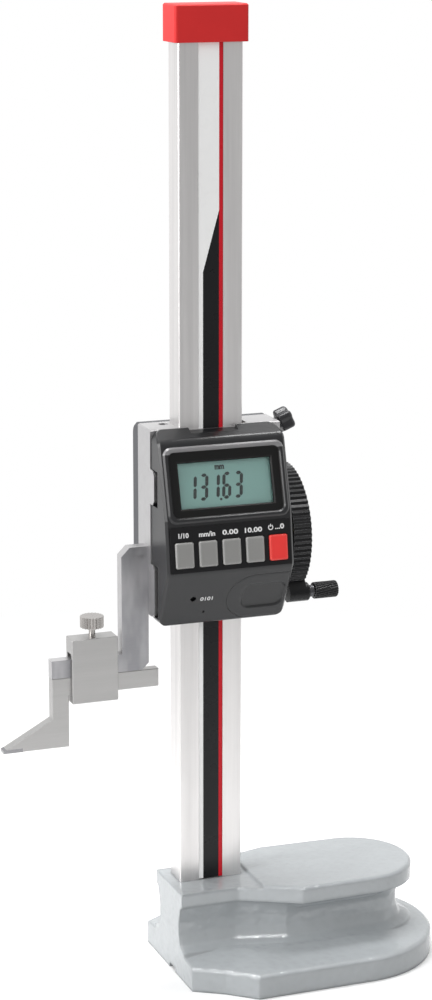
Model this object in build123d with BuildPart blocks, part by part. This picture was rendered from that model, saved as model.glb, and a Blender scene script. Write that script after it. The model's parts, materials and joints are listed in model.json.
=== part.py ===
from build123d import *
import os
from math import acos, cos, pi, radians, sin, tan

# Digital height gauge. Millimetres. The origin is on the base's underside, on the column's
# middle line: +X towards the finger grip, +Y away from the display, +Z up the column.

os.makedirs("parts", exist_ok=True)

# Fits and clearances
screw_fit = 0.03          # radial room of a screw in its own hole
slide_fit = 0.06          # room each side between the column and the carriage
shaft_fit = 0.04          # radial running room of shafts and pins
seat_gap = 0.1            # room each side of a piece laid in a pocket
jaw_fit = 0.1             # room each side of the scriber and jaw in the clamp
head_room = 0.4           # radial room round a sunk screw head

# Column
column_w = 35.0
column_d = 15.0
column_top = 512.0
column_edge = 0.5
socket_depth = 12.0

# Base
neck_top = 48.4
grip_top = 50.0
flange_h = 13.0
flange_edge = 1.4
flange_land = 0.6
base_left = -23.3
end_trim = 3.0
neck_mid_y = -6.1
grip_mid_y = -9.5
side_taper = 1.0
flange_neck_half = 34.4
flange_half = 54.0
flange_neck_x = -8.0
flange_flare = 11.5
flange_corner = 5.0
flange_diag_x = 6.5
base_right = 125.2
waist_neck_half = 15.2
waist_half = 18.0
waist_diag_x = 36.0
waist_right = 107.5
ledge_tilt = 9.0
ledge_h = 3.6
foot_round = 8.0
foot_centre_h = 24.0
flare_tilt = 18.0
flare_h = 10.0
top_neck_half = 20.4
top_half = 32.0
top_neck_x = 9.0
top_diag_x = 40.0
top_right = 114.8
top_rim_h = 9.0
top_edge = 1.2
under_steps = ((3.5, 65.5), (3.9, 49.7))
step_x = 21.4
relief_depth = 2.5
relief_slot_w = 9.0
relief_slot_y = -11.0
relief_start_x = 26.0
relief_end_x = 104.0
relief_w = 72.0
relief_corner = 18.0

# Screws that hold the column
column_screw_r = 2.5
column_screw_head_r = 4.25
column_screw_head_h = 5.0
column_screw_sink = 10.0
column_screw_x = 10.5
column_screw_grip = 12.0

# Scale in the front groove
scale_w = 13.4
scale_board_t = 1.0
scale_film_t = 0.35
scale_sink = 0.15
scale_end_gap = 0.4

# Rack, pinion and shaft
gear_module = 0.8
pinion_teeth = 18
pressure_angle = 20.0
tooth_backlash = 0.16
pinion_w = 8.0
shaft_y = 13.5
shaft_z = 235.8           # height of the carriage: its other heights follow from this one
shaft_r = 3.0
rack_w = 8.0
rack_back_t = 3.0
teeth_below = 55
teeth_above = 78
rack_land = 9.0
rack_pin_r = 1.5
rack_pin_hold = 4.5

# Cap
cap_over = 2.4
cap_h = 19.0
cap_roof = 3.0
cap_round = 1.5
cap_edge = 0.8

# Carriage frame
frame_left = -34.0
frame_right = 38.2
frame_front = -9.0
frame_back = 10.3
frame_below = 36.8
frame_above = 63.2
frame_edge = 0.6
gib_t = 2.5
gib_h = 88.0
gib_end_gap = 6.0
gib_screw_r = 2.0
gib_screw_len = 8.0
gib_screw_rises = (-13.8, 11.2, 32.2)
sensor_w = 25.0
sensor_h = 66.0
sensor_rise = 14.2
sensor_t = 1.2

# Lugs on the frame's front left edge
lug_t = 2.4
lug_reach = 6.0
lug_rises = ((24.2, 42.7), (-35.8, -7.8))
lug_cut = 2.6
lug_gap = 0.3
lug_front_gap = 4.0

# Arm and jaw
arm_left = -48.9
arm_front = -5.5
jaw_front = -5.5
arm_t = 7.0
arm_rise = 0.7
arm_top_chamfer = 4.6
arm_low_chamfer = 3.8
jaw_left = -87.5
jaw_t = 6.0
jaw_h = 9.7
jaw_bottom = 169.5

# Scriber
face_reading = 131.63
shank_h = 9.7
shank_right = -28.6
leg_w = 9.2
toe_left = -114.2
toe_top = 147.6
toe_nose = 1.3
tip_len = 10.5
tip_h = 2.1
scriber_edge = 0.3

# Clamp
clamp_left = -77.0
clamp_right = -51.8
clamp_wall = 2.3
clamp_floor = 4.4
clamp_roof = 8.0
clamp_play = 2.8
clamp_edge = 0.35
thumb_r = 1.7
thumb_neck = 5.0
thumb_head_r = 6.25
thumb_head_h = 6.0
thumb_ribs = 20
thumb_rib_depth = 0.7
clamp_seat = 0.1          # room above and below the clamped pieces

# Rear gear cover
cover_back = 19.6
cover_round = 6.5
cover_edge = 1.2
hump_wall = 1.8
hump_half_len = 13.0
hump_edge = 2.0
pinion_room = 0.6
pinion_side_room = 0.3
bush_r = 4.2
bush_lip_r = 5.6
bush_lip_t = 1.0
left_bush = (-20.0, -10.0)
right_bush_len = 12.2
shaft_groove = 0.5
cover_screw_xs = (-26.0, 30.5)
cover_screw_rises = (-17.8, 35.2)
cover_screw_r = 1.5
cover_screw_head_r = 2.75
cover_screw_drop = 0.2
cover_screw_hold = 6.0

# Housing profile, from the top of the display face down
housing_left = -33.5
housing_right = 36.5
housing_wall = 2.0
housing_front_y = -19.9
housing_front_rise = 58.7
display_tilt = 16.25
display_len = 40.7
keypad_tilt = 8.0
keypad_len = 27.8
chin_tilt = 27.3
chin_len = 36.1
housing_top_round = 5.0
housing_chin_round = 7.0
housing_low_round = 3.0
housing_side_edge = 1.2
housing_reach = 40.0
housing_low_corner = 6.0
housing_top_corner = 2.0
scoop_half = 13.0
scoop_depth = 1.4
scoop_len = 5.0
housing_screw_xs = (-27.0, 31.0)
housing_screw_rise = 40.0
housing_screw_r = 1.5
housing_screw_head_r = 2.75
housing_screw_drop = 0.1
housing_screw_hold = 6.0
boss_r = 3.4
boss_reach = 7.5

# Display
face_mid_x = 1.6
ridge_w = 66.6
ridge_h = 39.6
ridge_down = 22.8
ridge_corner = 4.5
ridge_band = 3.0
ridge_rise = 1.2
ridge_root = 0.6
ridge_edge = 0.9
lcd_w = 51.0
lcd_h = 23.6
lcd_x = 1.7
lcd_down = 23.3
lcd_bevel = 0.8
lens_t = 1.2
lens_margin = 2.0
lcd_t = 3.2
lcd_gap = 0.3

# Keypad
panel_w = 66.4
panel_h = 23.8
panel_down = 15.6
panel_t = 0.8
panel_sink = 0.2
key_names = ("key_inc", "key_unit", "key_hold", "key_preset", "key_zero")
key_count = len(key_names)
key_pitch = 12.95
key_w = 10.0
key_h = 13.4
key_down = 18.2
key_mid_x = 1.7
key_proud = 1.0
key_gap = 0.3
key_corner = 0.7
key_crown = 0.5
key_lip = 0.6
key_lip_t = 0.8
key_travel = 0.8
key_stop_gap = 0.05
mat_w = 65.0
mat_h = 17.4
mat_t = 1.2
board_t = 1.2

# Battery door and battery, on the slanted chin
door_round_r = 14.9
door_mid_x = 17.0
door_down = 20.0
door_t = 1.8
door_gap = 0.15
door_ledge = 2.4
door_tongue_w = 6.0
door_tongue_len = 1.4
door_tongue_t = 0.7
dent_w = 24.0
dent_h = 17.0
dent_depth = 0.9
dent_x = 22.5
dent_corner = 5.0
dent_taper = 40.0
battery_r = 10.0
battery_t = 3.2
battery_room = 0.25
battery_x = 17.5
cup_wall = 1.2
contact_t = 0.3
contact_w = 4.0
contact_len = 16.0

# Data jack
data_x = -16.8
data_down = 18.3
data_r = 1.6
jack_r = 3.0
jack_len = 5.0
jack_bore_r = 1.25
reset_x = -9.6
reset_down = 28.0
reset_r = 0.7

# Handwheel
wheel_r = 35.2
wheel_gap = 3.8
wheel_w = 10.0
wheel_rim_t = 4.0
wheel_web_t = 3.0
wheel_web_sink = 3.0
wheel_hub_r = 8.0
wheel_hub_gap = 0.4
wheel_hub_sink = 2.0
wheel_ribs = 72
wheel_rib_depth = 0.7
shaft_left = -19.5
shaft_end_sink = 0.2
crank_r = 39.0
crank_angle = 231.7
crank_boss_r = 5.0
crank_boss_rise = 2.0
crank_boss_edge = 0.5
crank_root_len = 9.0
crank_neck_r = 3.2
crank_neck_len = 3.0
crank_axle_r = 1.8
crank_head_sink = 2.0
crank_head_r = 2.8
crank_head_t = 1.2
knob_r = 4.5
knob_len = 13.6
knob_end_gap = 0.2
knob_end_edge = 0.8
wheel_screw_r = 1.5
wheel_screw_hold = 9.0
wheel_washer_r = 5.0
wheel_washer_t = 1.0
wheel_screw_head_r = 2.75
wheel_screw_head_h = 2.0

# Lock screw, tilted upwards to the right
lock_tilt = 22.0
lock_y = 0.5
lock_rise = 51.8
lock_screw_r = 2.0
lock_knob_start = 22.4
lock_knob_t = 7.5
lock_knob_r = 6.6
lock_lobes = 5
lock_lobe_r = 2.5
lock_neck_r = 3.0
lock_neck_len = 1.2
lock_knob_edge = 1.0
lock_knob_skin = 2.5
shoe_len = 5.0

# Screw in the frame's top
top_screw_x = -22.3
top_screw_y = 3.6
top_screw_r = 2.5
top_screw_sink = 1.0
top_screw_len = 8.0

# Worked-out places
column_front = -column_d / 2
column_back = column_d / 2
column_right = column_w / 2
column_bottom = neck_top - socket_depth
frame_bottom = shaft_z - frame_below
frame_top = shaft_z + frame_above
arm_top = shaft_z + arm_rise
sensor_z = shaft_z + sensor_rise
housing_front_z = shaft_z + housing_front_rise
lock_gib_z = shaft_z + lock_rise
gib_screw_zs = [shaft_z + rise for rise in gib_screw_rises]
cover_screw_zs = [shaft_z + rise for rise in cover_screw_rises]
lug_zs = [(shaft_z + low, shaft_z + high) for low, high in lug_rises]
housing_screw_z = shaft_z + housing_screw_rise
wheel_in = frame_right + wheel_gap
wheel_out = wheel_in + wheel_w
wheel_web_in = wheel_in + wheel_web_sink
wheel_hub_in = frame_right + bush_lip_t + wheel_hub_gap
wheel_hub_out = wheel_out - wheel_hub_sink
shaft_right = wheel_hub_out - shaft_end_sink
crank_boss_out = wheel_out + crank_boss_rise
crank_neck_out = crank_boss_out + crank_neck_len
knob_out = crank_neck_out + knob_len
crank_head_in = knob_out - crank_head_sink
right_bush_in = frame_right - right_bush_len
pitch_r = gear_module * pinion_teeth / 2
tip_r = pitch_r + gear_module
root_r = pitch_r - 1.25 * gear_module
tooth_pitch = pi * gear_module
rack_pitch_y = shaft_y - pitch_r
rack_tip_y = rack_pitch_y + gear_module
rack_root_y = rack_pitch_y - 1.25 * gear_module
rack_back_y = rack_root_y - rack_back_t
groove_depth = scale_board_t + scale_film_t + scale_sink
channel_right = column_right + gib_t + 2 * slide_fit
cap_bottom = column_top + cap_roof - cap_h
jaw_top = jaw_bottom + jaw_h
shank_top = jaw_bottom - clamp_seat
shank_bottom = shank_top - shank_h
gib_mid_z = frame_top - gib_end_gap - gib_h / 2
lock_dir = (cos(radians(lock_tilt)), 0, sin(radians(lock_tilt)))
lock_start = (channel_right, lock_y, lock_gib_z)
crank_y = shaft_y + crank_r * cos(radians(crank_angle))
crank_z = shaft_z + crank_r * sin(radians(crank_angle))
right_bush = (right_bush_in, frame_right)
shaft_bores = (
    (left_bush[0], left_bush[1], bush_r + screw_fit),
    (left_bush[1], right_bush_in, shaft_r + shaft_groove),
    (right_bush_in, frame_right, bush_r + screw_fit),
)
rack_bottom = shaft_z - teeth_below * tooth_pitch - rack_land
rack_top = shaft_z + teeth_above * tooth_pitch + rack_land
rack_pin_zs = (rack_bottom + rack_land / 2, rack_top - rack_land / 2)


def slope(start, tilt, length):
    """End point (y, z) of a face line that runs down and leans out by tilt degrees."""
    y = start[0] - length * sin(radians(tilt))
    z = start[1] - length * cos(radians(tilt))
    return (y, z)


display_top = (housing_front_y, housing_front_z)
keypad_top = slope(display_top, display_tilt, display_len)
chin_top = slope(keypad_top, keypad_tilt, keypad_len)
chin_end = slope(chin_top, -chin_tilt, chin_len)
housing_bottom = chin_end[1]


def face_plane(top, tilt, x=0.0, down=0.0, depth=0.0):
    """Plane on a front face of the housing: its y runs up the face, its z points outwards."""
    up = Vector(0, sin(radians(tilt)), cos(radians(tilt)))
    out = Vector(0, -cos(radians(tilt)), sin(radians(tilt)))
    origin = Vector(x, top[0], top[1]) - up * down - out * depth
    return Plane(origin=origin, x_dir=(1, 0, 0), z_dir=out)


def display_plane(x=0.0, down=0.0, depth=0.0):
    return face_plane(display_top, display_tilt, x, down, depth)


def keypad_plane(x=0.0, down=0.0, depth=0.0):
    return face_plane(keypad_top, keypad_tilt, x, down, depth)


def chin_plane(x=0.0, down=0.0, depth=0.0):
    return face_plane(chin_top, -chin_tilt, x, down, depth)


def side_plane(x, y=0.0, z=0.0):
    """Plane across X: its own x runs along +Y, its own y along +Z."""
    return Plane(origin=(x, y, z), x_dir=(0, 1, 0), z_dir=(1, 0, 0))


def front_plane(y, x=0.0, z=0.0):
    """Plane that faces the viewer: its own x runs along +X, its own y along +Z."""
    return Plane(origin=(x, y, z), x_dir=(1, 0, 0), z_dir=(0, -1, 0))


def back_plane(y, x=0.0, z=0.0):
    """Plane that faces away from the viewer."""
    return Plane(origin=(x, y, z), x_dir=(-1, 0, 0), z_dir=(0, 1, 0))


def lock_plane(distance):
    """Plane across the lock screw, a distance out from the gib along the screw."""
    origin = Vector(*lock_start) + Vector(*lock_dir) * distance
    return Plane(origin=origin, x_dir=(0, 1, 0), z_dir=lock_dir)


def save(builder, name):
    builder.part.label = name
    export_step(builder.part, f"parts/{name}.step")


def head_screw(plane, radius, length, head_r, head_h):
    """Cheese-head screw: the plane lies under its head and faces out through the head."""
    with BuildPart() as screw:
        with BuildSketch(plane):
            Circle(head_r)
        extrude(amount=head_h)
        with BuildSketch(plane):
            Circle(radius)
        extrude(amount=-length)
        with BuildSketch(plane.offset(head_h)):
            RegularPolygon(head_r * 0.5, 6)
        extrude(amount=-head_h * 0.6, mode=Mode.SUBTRACT)
    return screw.part


def sunk_screw(plane, radius, length, head_r):
    """Countersunk screw: the plane lies on its flat top and faces outwards."""
    with BuildPart() as screw:
        with BuildSketch(plane):
            Circle(head_r)
        extrude(amount=radius - head_r, taper=45)
        with BuildSketch(plane):
            Circle(radius)
        extrude(amount=-length)
        with BuildSketch(plane):
            RegularPolygon(radius * 0.8, 6)
        extrude(amount=-radius, mode=Mode.SUBTRACT)
    return screw.part


def set_screw(plane, radius, length):
    """Grub screw: the plane lies on its outer end and faces outwards."""
    with BuildPart() as screw:
        with BuildSketch(plane):
            Circle(radius)
        extrude(amount=-length)
        with BuildSketch(plane):
            RegularPolygon(radius * 0.5, 6)
        extrude(amount=-length * 0.3, mode=Mode.SUBTRACT)
    return screw.part


# Base casting
flange_plan = dict(
    neck=flange_neck_half, half=flange_half, neck_x=flange_neck_x, flare=flange_flare,
    diag_x=flange_diag_x, right=base_right, corner=flange_corner,
)
waist_plan = dict(
    neck=waist_neck_half, half=waist_half, neck_x=top_neck_x, flare=0.0,
    diag_x=waist_diag_x, right=waist_right,
)
top_plan = dict(
    neck=top_neck_half, half=top_half, neck_x=top_neck_x, flare=0.0,
    diag_x=top_diag_x, right=top_right,
)


def outline(z, neck, half, neck_x, flare, diag_x, right, corner=0.0, inset=0.0):
    """Keyhole outline at height z: straight neck, diagonals, tapering sides, round right end."""
    near, far = neck_mid_y - neck + inset, neck_mid_y + neck - inset
    low, high = grip_mid_y - half + inset, grip_mid_y + half - inset
    left = base_left - end_trim
    round_x = right - half
    with BuildSketch(Plane.XY.offset(z)) as plan:
        with BuildLine():
            Polyline(
                (round_x, high),
                (diag_x, high + side_taper),
                (neck_x, far + flare),
                (left, far),
                (left, near),
                (neck_x, near - flare),
                (diag_x, low - side_taper),
                (round_x, low),
            )
            CenterArc((round_x, grip_mid_y), half - inset, -90, 180)
        make_face()
        if corner:
            hollow_corners = plan.vertices().filter_by_position(Axis.X, neck_x - 0.1, neck_x + 0.1)
            fillet(hollow_corners, corner)
    return plan.sketch


def edges_at(part, z):
    """Edges that lie flat at height z."""
    boxes = [(edge, edge.bounding_box()) for edge in part.edges()]
    return [edge for edge, box in boxes if abs(box.min.Z - z) < 0.01 and abs(box.max.Z - z) < 0.01]


def stepped(plan, steps):
    """Solid below a flat outline, in steps of (height, tilt): it narrows where tilt is above 0."""
    with BuildPart() as form:
        first_h, first_tilt = steps[0]
        extrude(plan, amount=-first_h, taper=first_tilt)
        for step_h, tilt in steps[1:]:
            extrude(form.faces().sort_by(Axis.Z)[0], amount=step_h, taper=tilt)
    return form.part


rim_bottom = grip_top - top_rim_h
foot_steps = [
    (foot_round * (sin(radians(turn + 45)) - sin(radians(turn))), -turn - 22.5) for turn in (0, 45)
]
foot_steps.append((foot_centre_h - foot_round - flange_h, 0))

with BuildPart() as base_casting:
    extrude(outline(0, **flange_plan), amount=flange_h)
    chamfer(base_casting.faces().sort_by(Axis.Z)[-1].edges(), flange_edge)
    ledge_foot = outline(flange_h, **flange_plan, inset=flange_edge + flange_land)
    extrude(ledge_foot, amount=ledge_h, taper=90 - ledge_tilt)
    # Waist with its hollow foot and its flare under the rim
    extrude(outline(flange_h, **waist_plan), amount=rim_bottom - flange_h)
    add(stepped(outline(foot_centre_h, **waist_plan), foot_steps))
    extrude(outline(rim_bottom - flare_h, **waist_plan), amount=flare_h, taper=-flare_tilt)
    # Grip plate
    add(stepped(outline(rim_bottom, **top_plan), under_steps))
    extrude(outline(rim_bottom, **top_plan), amount=top_rim_h)
    chamfer(edges_at(base_casting.part, grip_top), top_edge)
    # The left end and the neck's top are machined flat
    split(bisect_by=Plane(origin=(base_left, 0, 0), z_dir=(1, 0, 0)), keep=Keep.TOP)
    with BuildSketch(Plane.XY.offset(neck_top)):
        with Locations(((base_left + step_x) / 2, neck_mid_y)):
            Rectangle(step_x - base_left, 4 * top_neck_half)
    extrude(amount=grip_top, mode=Mode.SUBTRACT)
    # Socket of the column, and the two screw holes below it
    with BuildSketch(Plane.XY.offset(column_bottom)):
        Rectangle(column_w + 2 * screw_fit, column_d + 2 * screw_fit)
    extrude(amount=grip_top, mode=Mode.SUBTRACT)
    with BuildSketch():
        with GridLocations(2 * column_screw_x, 0, 2, 1):
            Circle(column_screw_r + screw_fit)
    extrude(amount=column_bottom, mode=Mode.SUBTRACT)
    with BuildSketch():
        with GridLocations(2 * column_screw_x, 0, 2, 1):
            Circle(column_screw_head_r + head_room)
    extrude(amount=column_screw_sink, mode=Mode.SUBTRACT)
    # Relief between the lapped lands, with a channel out through the left end
    with BuildSketch():
        with Locations(((relief_start_x + relief_end_x) / 2, grip_mid_y)):
            RectangleRounded(relief_end_x - relief_start_x, relief_w, relief_corner)
        with Locations(((base_left + relief_start_x) / 2, relief_slot_y)):
            Rectangle(relief_start_x - base_left + 2, relief_slot_w)
    extrude(amount=relief_depth, mode=Mode.SUBTRACT)
save(base_casting, "base_casting")

# Column with its front groove for the scale and its back groove for the rack
with BuildPart() as column:
    with BuildSketch(Plane.XY.offset(column_bottom)) as column_plan:
        Rectangle(column_w, column_d)
        chamfer(column_plan.vertices(), column_edge)
        with Locations((0, column_front)):
            Rectangle(scale_w + 2 * seat_gap, 2 * groove_depth, mode=Mode.SUBTRACT)
        with Locations((0, column_back)):
            Rectangle(rack_w + 2 * seat_gap, 2 * (column_back - rack_back_y), mode=Mode.SUBTRACT)
    extrude(amount=column_top - column_bottom)
    with BuildSketch(Plane.XY.offset(column_bottom)):
        with GridLocations(2 * column_screw_x, 0, 2, 1):
            Circle(column_screw_r + screw_fit)
    extrude(amount=column_screw_grip + 1, mode=Mode.SUBTRACT)
    with BuildSketch(back_plane(rack_back_y)):
        with Locations(*[(0, z) for z in rack_pin_zs]):
            Circle(rack_pin_r + screw_fit)
    extrude(amount=-rack_pin_hold - 0.5, mode=Mode.SUBTRACT)
save(column, "column")

with BuildPart() as column_screws:
    for side in (-1, 1):
        under_head = Plane(
            origin=(side * column_screw_x, 0, column_screw_sink), x_dir=(1, 0, 0), z_dir=(0, 0, -1)
        )
        shank = column_bottom - column_screw_sink + column_screw_grip
        add(head_screw(under_head, column_screw_r, shank, column_screw_head_r, column_screw_head_h))
save(column_screws, "column_screws")

# Scale strip and its printed film
strip_bottom = neck_top + scale_end_gap
board_back = column_front + groove_depth

with BuildPart() as scale_board:
    with BuildSketch(Plane.XY.offset(strip_bottom)):
        with Locations((0, board_back - scale_board_t / 2)):
            Rectangle(scale_w, scale_board_t)
    extrude(amount=column_top - strip_bottom)
save(scale_board, "scale_board")

with BuildPart() as scale_film:
    with BuildSketch(Plane.XY.offset(strip_bottom)):
        with Locations((0, board_back - scale_board_t - scale_film_t / 2)):
            Rectangle(scale_w, scale_film_t)
    extrude(amount=column_top - strip_bottom)
save(scale_film, "scale_film")

# Feed rack: straight teeth that face backwards, with a gap level with the shaft
flank = tan(radians(pressure_angle))
tooth_half = (tooth_pitch - tooth_backlash) / 4
tooth_tip_half = tooth_half - gear_module * flank
tooth_root_half = tooth_half + 1.25 * gear_module * flank

with BuildPart() as feed_rack:
    with BuildSketch(side_plane(-rack_w / 2)):
        with BuildLine():
            points = [(rack_back_y, rack_bottom), (rack_root_y, rack_bottom)]
            for tooth in range(-teeth_below, teeth_above):
                middle = shaft_z + (tooth + 0.5) * tooth_pitch
                points.append((rack_root_y, middle - tooth_root_half))
                points.append((rack_tip_y, middle - tooth_tip_half))
                points.append((rack_tip_y, middle + tooth_tip_half))
                points.append((rack_root_y, middle + tooth_root_half))
            points += [(rack_root_y, rack_top), (rack_back_y, rack_top)]
            Polyline(*points, close=True)
        make_face()
    extrude(amount=rack_w)
    with BuildSketch(back_plane(rack_back_y)):
        with Locations(*[(0, z) for z in rack_pin_zs]):
            Circle(rack_pin_r + screw_fit)
    extrude(amount=rack_back_t, mode=Mode.SUBTRACT)
save(feed_rack, "feed_rack")

with BuildPart() as rack_pins:
    with BuildSketch(back_plane(rack_root_y)):
        with Locations(*[(0, z) for z in rack_pin_zs]):
            Circle(rack_pin_r)
    extrude(amount=-rack_back_t - rack_pin_hold)
save(rack_pins, "rack_pins")

# Moulded cap pushed over the column's top
with BuildPart() as column_cap:
    with BuildSketch(Plane.XY.offset(cap_bottom)):
        Rectangle(column_w + 2 * cap_over, column_d + 2 * cap_over)
    extrude(amount=cap_h)
    fillet(column_cap.edges().filter_by(Axis.Z), cap_round)
    chamfer(column_cap.faces().sort_by(Axis.Z)[-1].edges(), cap_edge)
    with BuildSketch(Plane.XY.offset(cap_bottom)):
        Rectangle(column_w + 2 * screw_fit, column_d + 2 * screw_fit)
    extrude(amount=column_top - cap_bottom, mode=Mode.SUBTRACT)
save(column_cap, "column_cap")

# Carriage frame: slide block, arm and jaw bar in one piece
frame_w = frame_right - frame_left
frame_d = frame_back - frame_front
channel_left = -column_right - slide_fit
channel_d = column_d + 2 * slide_fit

with BuildPart() as carriage_frame:
    with BuildSketch(Plane.XY.offset(frame_bottom)):
        with Locations(((frame_left + frame_right) / 2, (frame_front + frame_back) / 2)):
            Rectangle(frame_w, frame_d)
        with Locations(((channel_left + channel_right) / 2, 0)):
            Rectangle(channel_right - channel_left, channel_d, mode=Mode.SUBTRACT)
    extrude(amount=frame_top - frame_bottom)
    chamfer(carriage_frame.faces().sort_by(Axis.Z)[-1].outer_wire().edges(), frame_edge)
    chamfer(carriage_frame.faces().sort_by(Axis.Z)[0].outer_wire().edges(), frame_edge)
    with BuildSketch(front_plane(arm_front)):
        with BuildLine():
            Polyline(
                (arm_left, jaw_bottom),
                (frame_left - arm_low_chamfer, jaw_bottom),
                (frame_left, jaw_bottom + arm_low_chamfer),
                (frame_left, frame_bottom + frame_edge),
                (frame_left + 1, frame_bottom + frame_edge),
                (frame_left + 1, arm_top),
                (arm_left + arm_top_chamfer, arm_top),
                (arm_left, arm_top - arm_top_chamfer),
                close=True,
            )
        make_face()
    extrude(amount=-arm_t)
    with BuildSketch(front_plane(arm_front)):
        with Locations(((jaw_left + arm_left) / 2 + 0.5, (jaw_bottom + jaw_top) / 2)):
            Rectangle(arm_left - jaw_left + 1, jaw_h)
    extrude(amount=-jaw_t)
    for low, high in lug_zs:
        with BuildSketch(side_plane(frame_left)) as lug:
            with Locations((frame_front - lug_reach / 2, (low + high) / 2)):
                Rectangle(lug_reach, high - low)
            chamfer(lug.vertices().group_by(Axis.X)[0], lug_cut)
        extrude(amount=lug_t)
    # Dip in the top where the scale is read
    with BuildSketch(front_plane(0)):
        with Locations((0, frame_top)):
            Rectangle(2 * scoop_half, 2 * scoop_depth)
    extrude(amount=-frame_front + 1, mode=Mode.SUBTRACT)
    # Windows for the sensor board in front and for the pinion behind
    with BuildSketch(front_plane(0)):
        with Locations((0, sensor_z)):
            Rectangle(sensor_w + 2 * seat_gap, sensor_h + 2 * seat_gap)
    extrude(amount=-frame_front + 1, mode=Mode.SUBTRACT)
    with BuildSketch(back_plane(0)):
        with Locations((0, shaft_z)):
            Rectangle(pinion_w + 2 * pinion_side_room, 2 * (tip_r + pinion_room))
    extrude(amount=frame_back + 1, mode=Mode.SUBTRACT)
    # Half rounds behind for the shaft and its bushes
    for start, end, radius in shaft_bores:
        with BuildSketch(side_plane(start, shaft_y, shaft_z)):
            Circle(radius)
        extrude(amount=end - start, mode=Mode.SUBTRACT)
    # Screw holes: gib, lock, housing, cover and top
    with BuildSketch(side_plane(channel_right - slide_fit)):
        with Locations(*[(0, z) for z in gib_screw_zs]):
            Circle(gib_screw_r + screw_fit)
    extrude(amount=frame_w, mode=Mode.SUBTRACT)
    with BuildSketch(lock_plane(-gib_t)):
        Circle(lock_screw_r + shaft_fit)
    extrude(amount=frame_w, mode=Mode.SUBTRACT)
    with BuildSketch(back_plane(frame_front)):
        with Locations(*[(-x, housing_screw_z) for x in housing_screw_xs]):
            Circle(housing_screw_r + screw_fit)
    extrude(amount=frame_d, mode=Mode.SUBTRACT)
    with BuildSketch(back_plane(frame_back)):
        with Locations(*[(-x, housing_screw_z) for x in housing_screw_xs]):
            Circle(housing_screw_head_r + housing_screw_drop + screw_fit)
    sink = housing_screw_head_r + housing_screw_drop - housing_screw_r
    extrude(amount=-sink, taper=45, mode=Mode.SUBTRACT)
    with BuildSketch(back_plane(frame_back)):
        with Locations(*[(-x, z) for x in cover_screw_xs for z in cover_screw_zs]):
            Circle(cover_screw_r + screw_fit)
    extrude(amount=-cover_screw_hold - 0.5, mode=Mode.SUBTRACT)
    with BuildSketch(Plane.XY.offset(frame_top)):
        with Locations((top_screw_x, top_screw_y)):
            Circle(top_screw_r + screw_fit)
    extrude(amount=-top_screw_sink - top_screw_len - 1, mode=Mode.SUBTRACT)
save(carriage_frame, "carriage_frame")

with BuildPart() as top_screw:
    socket = Plane.XY.offset(frame_top - top_screw_sink).origin
    add(set_screw(Plane((top_screw_x, top_screw_y, socket.Z)), top_screw_r, top_screw_len))
save(top_screw, "top_screw")

# Gib strip, its screws, and the brake shoe under the lock screw
gib_left = column_right + slide_fit

with BuildPart() as gib_strip:
    with BuildSketch(side_plane(gib_left)):
        with Locations((0, gib_mid_z)):
            Rectangle(column_d - 2 * seat_gap, gib_h)
    extrude(amount=gib_t)
save(gib_strip, "gib_strip")

with BuildPart() as gib_screws:
    for z in gib_screw_zs:
        outer_end = side_plane(gib_left + gib_t + gib_screw_len, 0, z)
        add(set_screw(outer_end, gib_screw_r, gib_screw_len))
save(gib_screws, "gib_screws")

with BuildPart() as brake_shoe:
    with BuildSketch(lock_plane(-gib_t)):
        Circle(lock_screw_r)
    extrude(amount=gib_t + shoe_len)
    split(bisect_by=Plane(origin=(gib_left + gib_t, 0, 0), z_dir=(1, 0, 0)), keep=Keep.TOP)
save(brake_shoe, "brake_shoe")

# Rear gear cover with the pinion's hump
pocket_r = tip_r + pinion_room
hump_r = pocket_r + hump_wall

with BuildPart() as hump:
    with BuildSketch(side_plane(-hump_half_len, shaft_y, shaft_z)):
        Circle(hump_r)
    extrude(amount=2 * hump_half_len)
    chamfer(hump.edges(), hump_edge)

with BuildPart() as gear_cover:
    with BuildSketch(side_plane(frame_left)) as side:
        with Locations(((frame_back + cover_back) / 2, (frame_bottom + frame_top) / 2)):
            Rectangle(cover_back - frame_back, frame_top - frame_bottom)
        fillet(side.vertices().group_by(Axis.X)[-1], cover_round)
    extrude(amount=frame_w)
    ends = gear_cover.edges().filter_by_position(Axis.Y, frame_back + 0.1, cover_back)
    chamfer([edge for edge in ends if edge.bounding_box().size.X < 0.01], cover_edge)
    add(hump.part)
    split(bisect_by=Plane(origin=(0, frame_back, 0), z_dir=(0, 1, 0)), keep=Keep.TOP)
    with BuildSketch(side_plane(-pinion_w / 2 - pinion_side_room, shaft_y, shaft_z)):
        Circle(pocket_r)
    extrude(amount=pinion_w + 2 * pinion_side_room, mode=Mode.SUBTRACT)
    for start, end, radius in shaft_bores:
        with BuildSketch(side_plane(start, shaft_y, shaft_z)):
            Circle(radius)
        extrude(amount=end - start, mode=Mode.SUBTRACT)
    with BuildSketch(back_plane(frame_back)):
        with Locations(*[(-x, z) for x in cover_screw_xs for z in cover_screw_zs]):
            Circle(cover_screw_r + screw_fit)
    extrude(amount=cover_back, mode=Mode.SUBTRACT)
    with BuildSketch(back_plane(cover_back)):
        with Locations(*[(-x, z) for x in cover_screw_xs for z in cover_screw_zs]):
            Circle(cover_screw_head_r + cover_screw_drop + screw_fit)
    extrude(amount=cover_screw_r - cover_screw_head_r - cover_screw_drop, taper=45, mode=Mode.SUBTRACT)
save(gear_cover, "gear_cover")

with BuildPart() as cover_screws:
    for x in cover_screw_xs:
        for z in cover_screw_zs:
            flush = back_plane(cover_back - cover_screw_drop, x, z)
            shank = cover_back - cover_screw_drop - frame_back + cover_screw_hold
            add(sunk_screw(flush, cover_screw_r, shank, cover_screw_head_r))
save(cover_screws, "cover_screws")

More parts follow.
